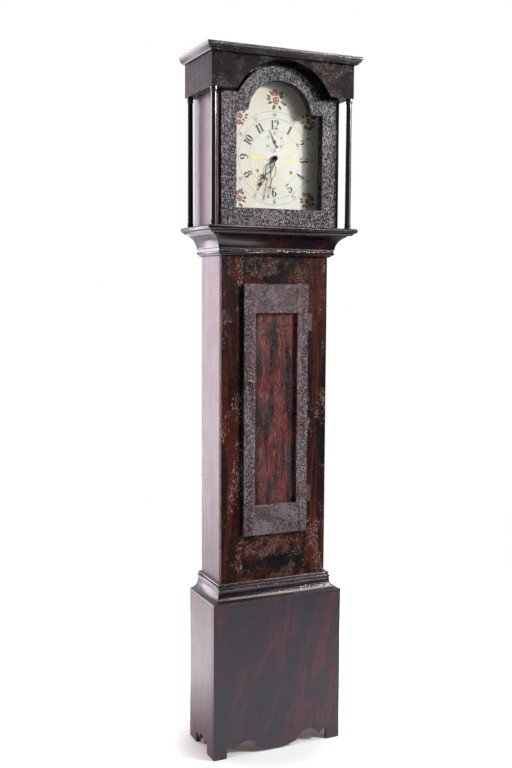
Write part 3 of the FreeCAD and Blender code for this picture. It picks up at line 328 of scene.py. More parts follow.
# %% Turn the coordinates so that the grain lies along Z
def grain_axes(tree, here, run):
    """Axes for the grain. A node's name as the run means a frame round that node: its stiles
    run upright, and its rails, above and below the opening, run along."""
    if run == "upright":
        return here
    if run == "slanting":
        return add(tree, "Mapping", {"Vector": here, "Rotation": (0, math.radians(-17), 0)}).outputs[0]
    parts = add(tree, "SeparateXYZ", {0: here}).outputs
    along = plus(tree, parts["X"], parts["Y"])
    crossing = sums(tree, "SUBTRACT", parts["Y"], parts["X"])
    lying = add(tree, "CombineXYZ", {0: parts["Z"], 1: crossing, 2: along}).outputs[0]
    if run == "along":
        return lying
    low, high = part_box(run)
    beyond = sums(tree, "GREATER_THAN", parts["Z"], high.z)
    beyond = plus(tree, beyond, sums(tree, "LESS_THAN", parts["Z"], low.z))
    between = sums(tree, "LESS_THAN", sums(tree, "ABSOLUTE", parts["X"], 0.0), high.x)
    return lay(tree, times(tree, beyond, between), here, lying)


# %% [markdown]
# ## Grained paint
# False rosewood is a dark glaze dragged over a red ground. The glaze thins into red-brown
# figure, the varnish over it has crackled, and wear has opened pale corners. Pale flecks on the
# varnish are partly painted glints, the lamps' highlights put into the colour. One function mixes
# it, and each board gets its own balance of black, red and crackle.

# %% Mix grained paint
WORN_WOOD = rgb(0.26, 0.17, 0.13)
SETTLED_DUST = rgb(0.20, 0.18, 0.17)
# Pale flecks stand partly for spots in the varnish and partly for painted glints of the lamps.
GLINT_FLECK_LIGHTER = 1.6                     # flecks are this much paler than the haze
STROKE_LIGHTER = 2.2                    # brush strokes are this much paler than the black


def grained(name, run, black, red, much=0.6, bands=9.0, squeeze=0.10, wander=0.6,
            pale=(0.24, 0.19, 0.19), crackled=0.3, cells=260.0, flecks_and_glints=0.5, fleck_and_glint_amount=0.9,
            clumps=0.16, rough=(0.24, 0.50), worn=0.6, dusty=0.35, bumpy=0.002, shine=0.35):
    """Grained and varnished paint. black and red are the two colours, much says how much red.
    bands, squeeze and wander shape the figure; crackled and cells the varnish; the two fleck
    values and clumps the pale flecks, which are partly painted glints of the lamps; worn and
    dusty the age."""
    material, tree, shader, here = finish(name, Specular_IOR_Level=shine)
    axes = grain_axes(tree, here, run)
    drawn = use(tree, graining, Vector=axes, Bands=bands, Squeeze=squeeze, Wander=wander)
    broken = use(tree, crackle, Vector=axes, Cells=cells, Flecks=flecks_and_glints, Clumps=clumps)
    edge = use(tree, rubbed, Vector=here)["Mask"]
    settled = use(tree, dust, Vector=here, Depth=dusty)["Mask"]
    stroked = rgb(*(STROKE_LIGHTER * part for part in black))
    fleck_and_glint = rgb(*(GLINT_FLECK_LIGHTER * part for part in pale))
    deep = lay(tree, times(tree, drawn["Strokes"], 0.5), rgb(*black), stroked)
    colour = lay(tree, times(tree, drawn["Figure"], much), deep, rgb(*red))
    colour = lay(tree, times(tree, broken["Cracks"], crackled), colour, rgb(*pale))
    # Pale flecks: partly spots in the varnish and partly painted glints of the lamps.
    colour = lay(tree, times(tree, broken["Flecks"], fleck_and_glint_amount), colour, fleck_and_glint)
    colour = lay(tree, times(tree, edge, worn), colour, WORN_WOOD)
    colour = lay(tree, settled, colour, SETTLED_DUST)
    dull = plus(tree, times(tree, broken["Cracks"], 0.5), settled)
    smear = cloud(tree, here, 22.0, 4.0, 0.6)
    mixed = plus(tree, times(tree, smear, 0.6), times(tree, dull, 0.6))
    roughness = spread(tree, mixed, 0.15, 0.75, *rough)
    height = plus(tree, broken["Height"], times(tree, drawn["Strokes"], 0.12))
    dress(tree, shader, colour, roughness, height, bumpy, 0.7)
    return material


# The fleck values on each board set its pale flecks, which are partly painted glints of the lamps.
waist_paint = grained(
    "waist frame", "waist_door_frame", (0.0025, 0.0018, 0.0022), (0.19, 0.030, 0.016), 0.6, 13,
    pale=(0.25, 0.155, 0.125), crackled=0.01, worn=0.4, dusty=0.05, shine=0.15,
)
side_paint = grained(
    "case sides", "upright", (0.03, 0.010, 0.014), (0.22, 0.03, 0.03), 0.9, 30, 0.05, crackled=0.15,
    cells=230, fleck_and_glint_amount=0.2, bumpy=0.0005, rough=(0.30, 0.46), shine=0.8,
)
rail_paint = grained(
    "mouldings", "along", (0.005, 0.004, 0.007), (0.13, 0.022, 0.012), 0.5, 13,
    pale=(0.20, 0.14, 0.12), crackled=0.02, cells=230, flecks_and_glints=0.2, fleck_and_glint_amount=0.4, bumpy=0.0003,
    rough=(0.10, 0.20), worn=0.25, shine=1.0, dusty=0.05,
)
foot_paint = grained(
    "base front", "slanting", (0.020, 0.015, 0.027), (0.13, 0.028, 0.026), 0.7, 12, 0.18,
    crackled=0.0, cells=230, flecks_and_glints=0.0, fleck_and_glint_amount=0.1, bumpy=0.0004, rough=(0.30, 0.50), shine=0.6,
)
door_paint = grained(
    "waist door frame", "waist_door_panel", (0.018, 0.011, 0.015), (0.24, 0.065, 0.052), 0.8, 26,
    0.05, pale=(0.24, 0.20, 0.215), crackled=0.18, flecks_and_glints=1.2, fleck_and_glint_amount=0.8, clumps=0.05, shine=0.45,
)
panel_paint = grained(
    "waist door panel", "upright", (0.007, 0.004, 0.006), (0.34, 0.065, 0.050), 1.0, 40, 0.16, 1.8,
    crackled=0.04, cells=230, fleck_and_glint_amount=0.2, bumpy=0.0007, shine=0.45,
)
hood_paint = grained(
    "hood door", "upright", (0.0025, 0.0022, 0.003), (0.04, 0.012, 0.010), 0.35, 12,
    pale=(0.24, 0.22, 0.24), crackled=0.05, cells=250, flecks_and_glints=1.3, clumps=0.03, bumpy=0.0028,
    rough=(0.24, 0.40), shine=0.30,
)
frieze_paint = grained(
    "frieze", "along", (0.0025, 0.0018, 0.0025), (0.07, 0.016, 0.010), 0.5, 11,
    pale=(0.18, 0.15, 0.15), crackled=0.01, cells=250, fleck_and_glint_amount=0.8, dusty=0.05, worn=0.3, shine=0.12,
)
cornice_paint = grained(
    "cornice", "along", (0.005, 0.004, 0.007), (0.07, 0.020, 0.014), 0.6, 13, crackled=0.04,
    cells=230, fleck_and_glint_amount=0.3, dusty=0.5, bumpy=0.0004, rough=(0.12, 0.26), worn=0.25, shine=1.0,
)
print("grained finishes:", len(bpy.data.materials))

# %% [markdown]
# ## Ebonised wood
# The four columns are stained black and French polished, so they hold hard white reflections.
# A slight waver in the polish bends the reflections, and rubbed rings show brown.

# %% Mix ebonised wood
ebony, tree, shader, here = finish("ebonised columns", Coat_Weight=0.8, Coat_Roughness=0.06)
hairline = cloud(tree, stretched(tree, here, 1, 1, 0.06), 500.0, 4.0, 0.7)
edge = use(tree, rubbed, Vector=here, Reach=0.0012)["Mask"]
colour = lay(tree, hairline, rgb(0.006, 0.006, 0.007), rgb(0.022, 0.018, 0.018))
colour = lay(tree, times(tree, edge, 0.5), colour, rgb(0.12, 0.08, 0.06))
roughness = spread(tree, cloud(tree, here, 70.0, 3.0), 0.2, 0.8, 0.12, 0.30)
dress(tree, shader, colour, roughness, hairline, 0.0001, 0.3)

# %% [markdown]
# ## Bare pine
# Inside and behind, the boards are unpainted softwood: straw yellow gone brown, with darker
# rings along the grain, a few knots, and dirt. The rings are contour lines of a stretched noise
# that is pushed aside round each knot.

# %% Mix bare pine
pine, tree, shader, here = finish("bare pine", Specular_IOR_Level=0.3)
long = stretched(tree, here, 1, 1, 0.07)
field = cloud(tree, long, 7.0, 2.0, 0.5, 0.4)
spaced = {"Vector": stretched(tree, here, 1, 1, 0.45), "Scale": 4.2}
knots = add(tree, "TexVoronoi", spaced).outputs["Distance"]
pushed = plus(tree, field, sums(tree, "DIVIDE", 0.012, plus(tree, knots, 0.05)))
rings = spread(tree, sums(tree, "SINE", times(tree, pushed, 90.0)), -0.4, 0.9)
pores = cloud(tree, stretched(tree, here, 1, 1, 0.03), 520.0, 4.0, 0.7)
grime = spread(tree, cloud(tree, here, 5.0, 5.0, 0.65), 0.42, 0.72)
colour = lay(tree, rings, rgb(0.36, 0.21, 0.10), rgb(0.22, 0.105, 0.045))
colour = lay(tree, spread(tree, knots, 0.10, 0.05), colour, rgb(0.06, 0.025, 0.012))
colour = lay(tree, times(tree, pores, 0.35), colour, rgb(0.12, 0.06, 0.03))
colour = lay(tree, times(tree, grime, 0.6), colour, rgb(0.07, 0.045, 0.03))
roughness = spread(tree, pores, 0.2, 0.8, 0.6, 0.85)
dress(tree, shader, colour, roughness, plus(tree, pores, rings), 0.0006, 0.5)

# %% [markdown]
# ## Dial paint
# The dial is sheet iron under many coats of white lead paint. Age turns it cream, with warm
# stains in broad patches, a faint craze, and small rust specks. The stains are large soft noise,
# and the craze is the border of small Voronoi cells.

# %% Mix dial paint
enamel, tree, shader, here = finish("dial paint", Coat_Weight=0.25, Coat_Roughness=0.25)
stain = spread(tree, cloud(tree, here, 9.0, 4.0, 0.6), 0.48, 0.72)
mottle = cloud(tree, here, 45.0, 5.0, 0.65)
crazing = {"Vector": here, "Scale": 210.0}
craze = add(tree, "TexVoronoi", crazing, feature="DISTANCE_TO_EDGE").outputs["Distance"]
lines = times(tree, spread(tree, craze, 0.035, 0.0), spread(tree, mottle, 0.42, 0.60))
specks = spread(tree, cloud(tree, here, 330.0, 2.0), 0.73, 0.80)
colour = lay(tree, mottle, rgb(0.80, 0.76, 0.69), rgb(0.69, 0.66, 0.60))
colour = lay(tree, times(tree, stain, 0.55), colour, rgb(0.74, 0.60, 0.37))
colour = lay(tree, times(tree, lines, 0.35), colour, rgb(0.33, 0.27, 0.20))
colour = lay(tree, times(tree, specks, 0.7), colour, rgb(0.24, 0.13, 0.07))
roughness = spread(tree, mottle, 0.3, 0.7, 0.32, 0.48)
dress(tree, shader, colour, roughness, sums(tree, "SUBTRACT", mottle, lines), 0.0002, 0.3)

# %% [markdown]
# ## Window glass
# The hood glass is thin and clean with a trace of ripple. Bent light through real glass is slow
# to trace and darkens the dial, so shadow and diffuse rays pass straight through it.

# %% Mix window glass
glass, tree, shader, here = finish(
    "window glass", Transmission_Weight=1.0, IOR=1.45, Metallic=0.0, Roughness=0.02
)
colour = lay(tree, cloud(tree, here, 6.0), rgb(0.97, 0.99, 0.97), rgb(0.93, 0.96, 0.94))
dress(tree, shader, colour, None, cloud(tree, here, 9.0, 1.0), 0.0004, 0.15)
rays = add(tree, "LightPath").outputs
passing = sums(tree, "MAXIMUM", rays["Is Shadow Ray"], rays["Is Diffuse Ray"])
clear = add(tree, "BsdfTransparent")
pane = add(tree, "MixShader", {0: passing, 1: shader.outputs[0], 2: clear.outputs[0]})
tree.links.new(pane.outputs[0], tree.nodes["Material Output"].inputs["Surface"])

# %% [markdown]
# ## Metals
# Each metal shares one recipe, because age treats them alike: a bright skin, a dull film in
# patches, edges rubbed bright again, and fine scratches that show in the roughness.

# %% Mix an old metal
def metal(name, bright, dull, film=0.5, rough=(0.22, 0.5), scratch=900.0, metallic=1.0, bumpy=0.2):
    material, tree, shader, here = finish(name, Metallic=metallic)
    patches = spread(tree, cloud(tree, here, 85.0, 5.0, 0.65), 0.38, 0.66)
    marks = cloud(tree, stretched(tree, here, 0.25, 1, 1), scratch, 3.0, 0.7)
    edge = use(tree, rubbed, Vector=here, Reach=0.0008)["Mask"]
    colour = lay(tree, times(tree, patches, film), rgb(*bright), rgb(*dull))
    colour = lay(tree, edge, colour, rgb(*bright))
    worn = plus(tree, times(tree, patches, 0.6), times(tree, marks, 0.4))
    dress(tree, shader, colour, spread(tree, worn, 0.1, 0.9, *rough), marks, 0.0001, bumpy)
    return material


brass = metal("clock brass", (0.72, 0.50, 0.20), (0.36, 0.22, 0.08))
bell_metal = metal("bell metal", (0.62, 0.50, 0.34), (0.26, 0.19, 0.12), 0.6)
steel = metal("bright steel", (0.52, 0.52, 0.53), (0.22, 0.19, 0.17), 0.4)
iron = metal("old iron", (0.085, 0.075, 0.07), (0.11, 0.055, 0.035), 0.8, (0.45, 0.8), 300.0, 0.6, 0.5)
blued = metal("blued steel", (0.022, 0.024, 0.034), (0.012, 0.011, 0.012), 0.6, (0.25, 0.5), 900.0, 0.7)
keyhole_brass = metal("keyhole brass", (0.55, 0.47, 0.36), (0.22, 0.16, 0.11), 0.6)

# %% [markdown]
# ## Gut line
# The weights hang on twisted gut, amber and slightly translucent, with a twist that shows as
# slanting stripes. A wave texture across the line gives the twist.

# %% Mix gut
gut, tree, shader, here = finish("gut line", Subsurface_Weight=0.15)
plies = {"Vector": here, "Scale": 260.0, "Distortion": 1.5}
twist = add(tree, "TexWave", plies, bands_direction="DIAGONAL").outputs["Fac"]
colour = lay(tree, twist, rgb(0.42, 0.24, 0.09), rgb(0.20, 0.10, 0.035))
dress(tree, shader, colour, spread(tree, twist, 0, 1, 0.35, 0.55), twist, 0.0003, 0.5)
print("finishes:", len(bpy.data.materials))

# %% [markdown]
# ## Giving the model its finishes
# Each CAD node keeps its shape and takes the finish of its material slot. The table goes from
# the record's slots to the finishes above.

# %% Finish every node by its slot
slot_finish = {
    "grained_case": waist_paint, "grained_door": door_paint, "grained_panel": panel_paint,
    "ebonised_wood": ebony, "bare_pine": pine, "dial_paint": enamel, "window_glass": glass,
    "blued_steel": blued, "clock_brass": brass, "bell_metal": bell_metal,
    "bright_steel": steel, "old_iron": iron, "keyhole_brass": keyhole_brass, "gut": gut,
}
node_slot = {part["node"]: part["material_slot"] for part in frame["record"]["subparts"]}
node_body = {
    node: body
    for body, nodes in frame["record"]["behaviour"]["bodies"].items()
    for node in nodes
}
for name, part in frame["nodes"].items():
    part.data.materials.clear()
    part.data.materials.append(slot_finish[node_slot[name]])
print("nodes finished:", len(frame["nodes"]))

# %% [markdown]
# ## Easing the edges
# No old edge is sharp. A copy of each visible board is welded, its flat faces are merged, and
# every sharp edge is rounded by a millimetre or so. The copy then stands for the node. The bevel
# modifier sits on a trial object, and its result is kept as a mesh, which keeps the scene light.

# %% Ease a board
def show(name, mesh, material, body, stands_for=()):
    """Puts a mesh in the scene as one piece of the clock."""
    made = bpy.data.objects.new(name, mesh)
    scene.collection.objects.link(made)
    if not len(mesh.materials):
        mesh.materials.append(material)
    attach(made, body)
    if stands_for:
        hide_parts(*stands_for)
    return made


def meshed(name, shape):
    """A mesh made from a finished bmesh, which is freed."""
    mesh = bpy.data.meshes.new(name)
    shape.to_mesh(mesh)
    shape.free()
    return mesh


def eased(node, width, material=None, steps=2, sharp=28.0):
    """A copy of a CAD node with rounded edges, which stands for it."""
    mesh = frame["nodes"][node].data.copy()
    shape = bmesh.new()
    shape.from_mesh(mesh)
    bmesh.ops.remove_doubles(shape, verts=shape.verts, dist=3e-6)
    bmesh.ops.dissolve_limit(
        shape, angle_limit=math.radians(0.6), verts=shape.verts[:], edges=shape.edges[:]
    )
    shape.to_mesh(mesh)
    shape.free()
    trial = bpy.data.objects.new("trial", mesh)
    scene.collection.objects.link(trial)
    rounder = trial.modifiers.new("round", "BEVEL")
    rounder.width = width
    rounder.segments = steps
    rounder.limit_method = "ANGLE"
    rounder.angle_limit = math.radians(sharp)
    rounder.use_clamp_overlap = True
    rounder.harden_normals = True
    graph = bpy.context.evaluated_depsgraph_get()
    soft = bpy.data.meshes.new_from_object(trial.evaluated_get(graph))
    bpy.data.objects.remove(trial)
    soft.materials.clear()
    return show(
        "eased_" + node, soft, material or slot_finish[node_slot[node]],
        node_body[node], [node],
    )


woodwork = {
    "base_front": (0.0012, foot_paint), "base_sides": (0.0012, side_paint),
    "base_moulding": (0.0005, rail_paint), "waist_sides": (0.0012, side_paint),
    "waist_front_frame": (0.0008, waist_paint), "waist_moulding": (0.0005, rail_paint),
    "hood_base_moulding": (0.0005, rail_paint), "hood_sides": (0.001, side_paint),
    "frieze_front": (0.0012, frieze_paint), "frieze_sides": (0.0012, frieze_paint),
    "cornice": (0.0005, cornice_paint), "hood_top_board": (0.001, pine),
    "hood_door_frame": (0.0012, hood_paint), "waist_door_frame": (0.0018, door_paint),
    "waist_door_panel": (0.0006, panel_paint), "hood_mask_frame": (0.0006, hood_paint),
    "hood_base_frame": (0.0008, pine), "backboard": (0.001, pine),
    "seat_board": (0.001, pine), "base_bottom_board": (0.001, pine),
    "hood_soffit": (0.0006, frieze_paint), "glue_blocks": (0.001, pine),
}
for node, (width, material) in woodwork.items():
    made = eased(node, width, material)
    print(node, len(made.data.polygons), "faces")

# %% [markdown]
# ## Ready to draw on the dial
# The dial is painted by hand: rings, numbers, flowers. Each stroke here is a thin flat mesh that
# lies a tenth of a millimetre in front of the iron, so it stays crisp at any size. A texture
# could hold the same marks, and would blur close up.

# %% Find the dial and its centres
def middle(node):
    low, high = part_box(node)
    return (low + high) / 2


dial_low, dial_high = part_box("dial")
paint_y = dial_low.y - 0.00010
hub = middle("cannon_wheel")
seconds = middle("escape_wheel")
winding = [middle("strike_barrel"), middle("going_barrel")]
print("dial centre at height", round(hub.z, 4), "seconds at", round(seconds.z, 4))


# %% Marks for paint: one flat mesh from many outlines
def paint_marks(name, outlines, material, layer=0):
    """Flat outlines of (x, z) points on the dial. A higher layer lies over a lower one."""
    shape = bmesh.new()
    y = paint_y - layer * 0.00004
    for number, outline in enumerate(outlines):
        lift = (number % 7) * 0.000004
        corners = [shape.verts.new((x, y - lift, z)) for x, z in outline]
        face = shape.faces.new(corners)
        face.normal_update()
        if face.normal.y > 0:
            face.normal_flip()
    mesh = meshed(name, shape)
    return show(name, mesh, material, "case")


def ring_marks(centre, radius, width, start=0.0, end=360.0, steps=120):
    """A painted circle, or a part of one, as a chain of small outlines."""
    marks = []
    for step in range(steps):
        a = math.radians(start + (end - start) * step / steps)
        b = math.radians(start + (end - start) * (step + 1) / steps)
        inner, outer = radius - width / 2, radius + width / 2
        marks.append([
            (centre.x + far * math.sin(turn), centre.z + far * math.cos(turn))
            for far, turn in ((inner, a), (outer, a), (outer, b), (inner, b))
        ])
    return marks


# %% [markdown]
# ## Paints for the dial
# The figures are lamp black, thinner where the brush ran dry, so the cream shows through in
# places. The flowers are brick red, pink and dark green, and the band beside the hands is gilt.
# All share one recipe: a colour that varies in tone, and worn spots where it has flaked.

# %% Mix the dial's paints
def dial_colour(name, deep, light, wear=0.35, gloss=0.45, metallic=0.0):
    material, tree, shader, here = finish(name, Metallic=metallic, Coat_Weight=0.2)
    tone = cloud(tree, here, 260.0, 3.0, 0.6)
    flaked = spread(tree, cloud(tree, here, 700.0, 3.0, 0.7), 0.56, 0.72)
    colour = lay(tree, spread(tree, tone, 0.3, 0.7), rgb(*deep), rgb(*light))
    colour = lay(tree, times(tree, flaked, wear), colour, rgb(0.62, 0.57, 0.48))
    dress(tree, shader, colour, spread(tree, tone, 0.2, 0.8, gloss, gloss + 0.2), tone, 0.0001, 0.3)
    return material


black_paint = dial_colour("figures black", (0.010, 0.011, 0.014), (0.05, 0.05, 0.055), 0.25)
grey_paint = dial_colour("rings grey", (0.13, 0.125, 0.13), (0.30, 0.28, 0.26), 0.5)
brick_paint = dial_colour("brick red", (0.13, 0.025, 0.018), (0.33, 0.085, 0.055), 0.3)
pink_paint = dial_colour("petal pink", (0.40, 0.14, 0.10), (0.62, 0.34, 0.27), 0.4)
leaf_paint = dial_colour("leaf green", (0.018, 0.020, 0.013), (0.10, 0.085, 0.045), 0.25)
gilt = dial_colour("gilt", (0.55, 0.36, 0.07), (0.86, 0.66, 0.22), 0.15, 0.28, 0.45)

# %% Rings and minute dots
rings = []
for radius, width in ((0.139, 0.0009), (0.118, 0.0009), (0.084, 0.0007)):
    rings += ring_marks(hub, radius, width)
for radius in (0.0305, 0.0215):
    rings += ring_marks(seconds, radius, 0.0006, steps=60)
for minute in range(60):
    turn = math.radians(6 * minute)
    long = 0.0016 if minute % 5 == 0 else 0.0008
    middle_x, middle_z = hub.x + 0.1215 * math.sin(turn), hub.z + 0.1215 * math.cos(turn)
    rings.append([
        (middle_x + long * math.sin(a), middle_z + long * math.cos(a))
        for a in (math.pi * part / 4 for part in range(8))
    ])
paint_marks("dial_rings", rings, grey_paint)
print("ring marks:", len(rings))

# %% [markdown]
# ## Writing the numbers
# The sign painter's numbers come from a broad brush: heavy where it moves down, hair thin where
# it moves across, with round blobs at the ends. Each digit is a few strokes given as centre
# points with half widths, in a box one unit tall. A font would look printed.

# %% Strokes of the brush
def bowl(x, z, wide, tall, start, end, heavy=0.105):
    """A stroke round an oval, clockwise from its top in degrees, heavy at its sides."""
    count = max(3, round(abs(end - start) / 30))
    points = []
    for step in range(count + 1):
        turn = math.radians(start + (end - start) * step / count)
        weight = abs(math.sin(turn)) ** 1.6
        pen = 0.026 + (heavy - 0.026) * weight
        points.append((x + wide * math.sin(turn), z + tall * math.cos(turn), pen))
    return points


def blob(x, z, radius):
    turns = [math.pi * k / 6 for k in range(12)]
    return [(x + radius * math.sin(a), z + radius * math.cos(a)) for a in turns]


def swept(points, per=4):
    """Small outlines along a smooth stroke through (x, z, half width) points."""
    rail = []
    for index in range(len(points) - 1):
        p0 = points[max(index - 1, 0)]
        p1, p2 = points[index], points[index + 1]
        p3 = points[min(index + 2, len(points) - 1)]
        for step in range(per + (index == len(points) - 2)):
            t = step / per
            rail.append([
                0.5 * (2 * b + (c - a) * t + (2 * a - 5 * b + 4 * c - d) * t * t
                       + (3 * b - a - 3 * c + d) * t ** 3)
                for a, b, c, d in zip(p0, p1, p2, p3)
            ])
    edges = []
    for index, (x, z, half) in enumerate(rail):
        before, after = rail[max(index - 1, 0)], rail[min(index + 1, len(rail) - 1)]
        along = Vector((after[0] - before[0], after[1] - before[1])).normalized()
        across, rise = along.y * half, along.x * half
        edges.append(((x - across, z + rise), (x + across, z - rise)))
    return [[a[0], a[1], b[1], b[0]] for a, b in zip(edges, edges[1:])]


# %% The ten digits
thick, thin = 0.105, 0.026
digits = {
    "0": ([bowl(0, 0.5, 0.19, 0.47, 0, 360)], []),
    "1": ([[(0, 0.03, thick), (0, 0.97, thick)], [(-0.19, 0.80, thin), (-0.04, 0.96, 0.03)],
           [(-0.17, 0.02, thin), (0.17, 0.02, thin)]], []),
    "2": ([bowl(0, 0.72, 0.20, 0.26, -70, 120),
           [(0.16, 0.60, 0.06), (0.02, 0.34, 0.03), (-0.21, 0.05, thin)],
           [(-0.22, 0.05, thin), (-0.08, 0.09, 0.06), (0.08, 0.055, 0.06), (0.23, 0.17, thin)]],
          [blob(-0.14, 0.76, 0.08)]),
    "3": ([bowl(-0.01, 0.75, 0.18, 0.23, -60, 180), bowl(0, 0.27, 0.22, 0.26, 0, 245)],
          [blob(-0.13, 0.82, 0.07), blob(-0.17, 0.20, 0.075)]),
    "4": ([[(0.08, 0.03, thick), (0.08, 0.97, thick)], [(0.05, 0.96, thin), (-0.25, 0.29, thin)],
           [(-0.27, 0.28, thin), (0.27, 0.28, thin)], [(-0.07, 0.02, thin), (0.23, 0.02, thin)]], []),
    "5": ([[(-0.17, 0.91, 0.06), (0.02, 0.92, 0.065), (0.19, 0.97, thin)],
           [(-0.16, 0.93, thin), (-0.18, 0.50, thin)],
           bowl(0, 0.30, 0.21, 0.29, -55, 245)], [blob(-0.16, 0.20, 0.075)]),
    "6": ([bowl(0, 0.28, 0.20, 0.27, 0, 360), bowl(0.07, 0.47, 0.27, 0.50, 205, 385)],
          [blob(0.15, 0.88, 0.07)]),
    "7": ([[(-0.21, 0.88, 0.03), (-0.12, 0.93, 0.065), (0.08, 0.90, 0.06), (0.22, 0.95, thin)],
           [(0.22, 0.95, thin), (0.05, 0.55, 0.05), (-0.02, 0.03, 0.09)]], []),
    "8": ([bowl(0, 0.75, 0.16, 0.22, 0, 360, 0.085), bowl(0, 0.27, 0.21, 0.26, 0, 360)], []),
}
strokes_of_six, blobs_of_six = digits["6"]
digits["9"] = (
    [[(-x, 1 - z, half) for x, z, half in stroke] for stroke in strokes_of_six],
    [[(-x, 1 - z) for x, z in mark] for mark in blobs_of_six],
)


def number(text, x, z, height, lean, wide=0.53):
    """Outlines of a number centred on (x, z) and leaning clockwise by lean degrees."""
    marks = []
    spaces = [0.40 if digit == "1" else wide for digit in text]
    pen = -sum(spaces) / 2
    for digit, space in zip(text, spaces):
        strokes, blobs = digits[digit]
        outlines = [quad for stroke in strokes for quad in swept(stroke)] + blobs
        for outline in outlines:
            marks.append([(pen + space / 2 + a, b - 0.5) for a, b in outline])
        pen += space
    c, s = math.cos(math.radians(lean)), math.sin(math.radians(lean))
    return [
        [(x + height * (a * c + b * s), z + height * (b * c - a * s)) for a, b in mark]
        for mark in marks
    ]


def round_the_dial(values, centre, radius, height):
    """Numbers round a circle; the lower ones stand upright."""
    marks = []
    for place, text in enumerate(values, start=1):
        angle = 360 * place / len(values)
        lean = angle + 180 if 100 < angle < 260 else angle
        turn = math.radians(angle)
        x, z = centre.x + radius * math.sin(turn), centre.z + radius * math.cos(turn)
        marks += number(text, x, z, height, lean)
    return marks


# %% Write the hours, minutes and seconds
hours = round_the_dial([str(hour) for hour in range(1, 13)], hub, 0.1000, 0.0275)
minutes = round_the_dial([str(5 * step) for step in range(1, 13)], hub, 0.1295, 0.0115)
ticks = round_the_dial([str(10 * step) for step in range(1, 7)], seconds, 0.0258, 0.0078)
paint_marks("dial_hours", hours, black_paint, 1)
paint_marks("dial_minutes", minutes, grey_paint, 1)
paint_marks("dial_seconds", ticks, grey_paint, 1)
print("number marks:", len(hours) + len(minutes) + len(ticks))

# %% [markdown]
# ## Flowers
# A spray of roses fills the arch and a small one fills each corner. A rose is three lobed discs
# of red and pink, one over another and each turned a little, and a leaf is a pointed oval. The
# same few shapes, seeded so that they never repeat exactly, make every spray.

# %% Paint the sprays
chance = random.Random(7)


def rose(x, z, radius):
    """Outer petals, inner petals and heart of one rose."""
    layers = []
    for share, lobes, dip in ((1.0, 5, 0.20), (0.70, 4, 0.25), (0.34, 3, 0.20)):
        turn = chance.uniform(0, 6.28)
        layers.append([
            (x + share * radius * (1 - dip * abs(math.sin(lobes * a / 2 + turn))) * math.sin(a),
             z + share * radius * (1 - dip * abs(math.sin(lobes * a / 2 + turn))) * math.cos(a))
            for a in (2 * math.pi * k / 30 for k in range(30))
        ])
    return layers


def leaf(x, z, length, width, lean):
    c, s = math.cos(math.radians(lean)), math.sin(math.radians(lean))
    half = [(0, 0), (0.7, 0.18), (1, 0.42), (0.75, 0.70), (0, 1)]
    points = half + [(-a, b) for a, b in half[3:0:-1]]
    half_width = width / 2
    return [
        (x + half_width * a * c + length * b * s, z - half_width * a * s + length * b * c)
        for a, b in points
    ]


BLOOMS = ((0.0, 0, 0.34), (0.62, -12, 0.30), (0.66, 32, 0.19), (0.55, 95, 0.15), (0.80, -42, 0.12))


def spray(x, z, size, lean):
    """Leaves round two roses and some buds; lean says which way it points."""
    leaves, reds, pinks, hearts = [], [], [], []
    for turn in (-160, -118, -88, -60, -30, 12, 38, 62, 100, 140, 180):
        a = math.radians(lean + turn + chance.uniform(-10, 10))
        far = size * chance.uniform(0.30, 0.62)
        tip_x, tip_z = x + far * math.sin(a), z + far * math.cos(a)
        leaves.append(leaf(tip_x, tip_z, size * 0.44, size * 0.22, math.degrees(a)))
    for share, turn, radius in BLOOMS:
        a = math.radians(lean + turn)
        reach = size * share
        outer, inner, heart = rose(x + reach * math.sin(a), z + reach * math.cos(a), size * radius)
        reds.append(outer)
        pinks.append(inner)
        hearts.append(heart)
    return leaves, reds, pinks, hearts


painted = [[], [], [], []]
corner_x = dial_high.x - 0.037
sprays = [(0.003, 1.997, 0.038, 4)]
corners = ((1.703, 20), (1.944, 160))
sprays += [(side * corner_x, z, 0.030, side * lean) for side in (-1, 1) for z, lean in corners]
for x, z, size, lean in sprays:
    for layer, marks in zip(painted, spray(x, z, size, lean)):
        layer += marks
for place, (name, material) in enumerate(
    (("leaves", leaf_paint), ("petals", brick_paint), ("inner_petals", pink_paint),
     ("hearts", brick_paint))
):
    paint_marks("dial_" + name, painted[place], material, 1 + place)
print("sprays:", len(sprays))

# %% [markdown]
# ## Gilt work
# A gilt band runs out to the left and right of the hands, and a gilt line bounds each corner.
# The band is a row of little leaves between two hair lines.

# %% Lay the gilt
band = []
for side in (-1, 1):
    for rise in (-0.0036, 0.0036):
        start, end = sorted((side * 0.022, side * 0.080))
        band.append([(start, hub.z - 0.004 + rise - 0.0003), (end, hub.z - 0.004 + rise - 0.0003),
                     (end, hub.z - 0.004 + rise + 0.0003), (start, hub.z - 0.004 + rise + 0.0003)])
    for step in range(11):
        x = side * (0.0245 + 0.0053 * step)
        band.append(leaf(x, hub.z - 0.004, 0.0055, 0.0034, side * 62))
        band.append(leaf(x, hub.z - 0.004, 0.0055, 0.0034, side * 118))
for start in (36, 128, 218, 308):
    band += ring_marks(hub, 0.1465, 0.0009, start, start + 16, 20)
paint_marks("dial_gilding", band, gilt, 1)
print("gilt marks:", len(band))

# %% [markdown]
# ## Turned work
# Collets, screws, knobs and rings all come off a lathe. One helper spins a profile of (radius,
# height) points round an axis, and the profile's few corners are what a turner would mark out.

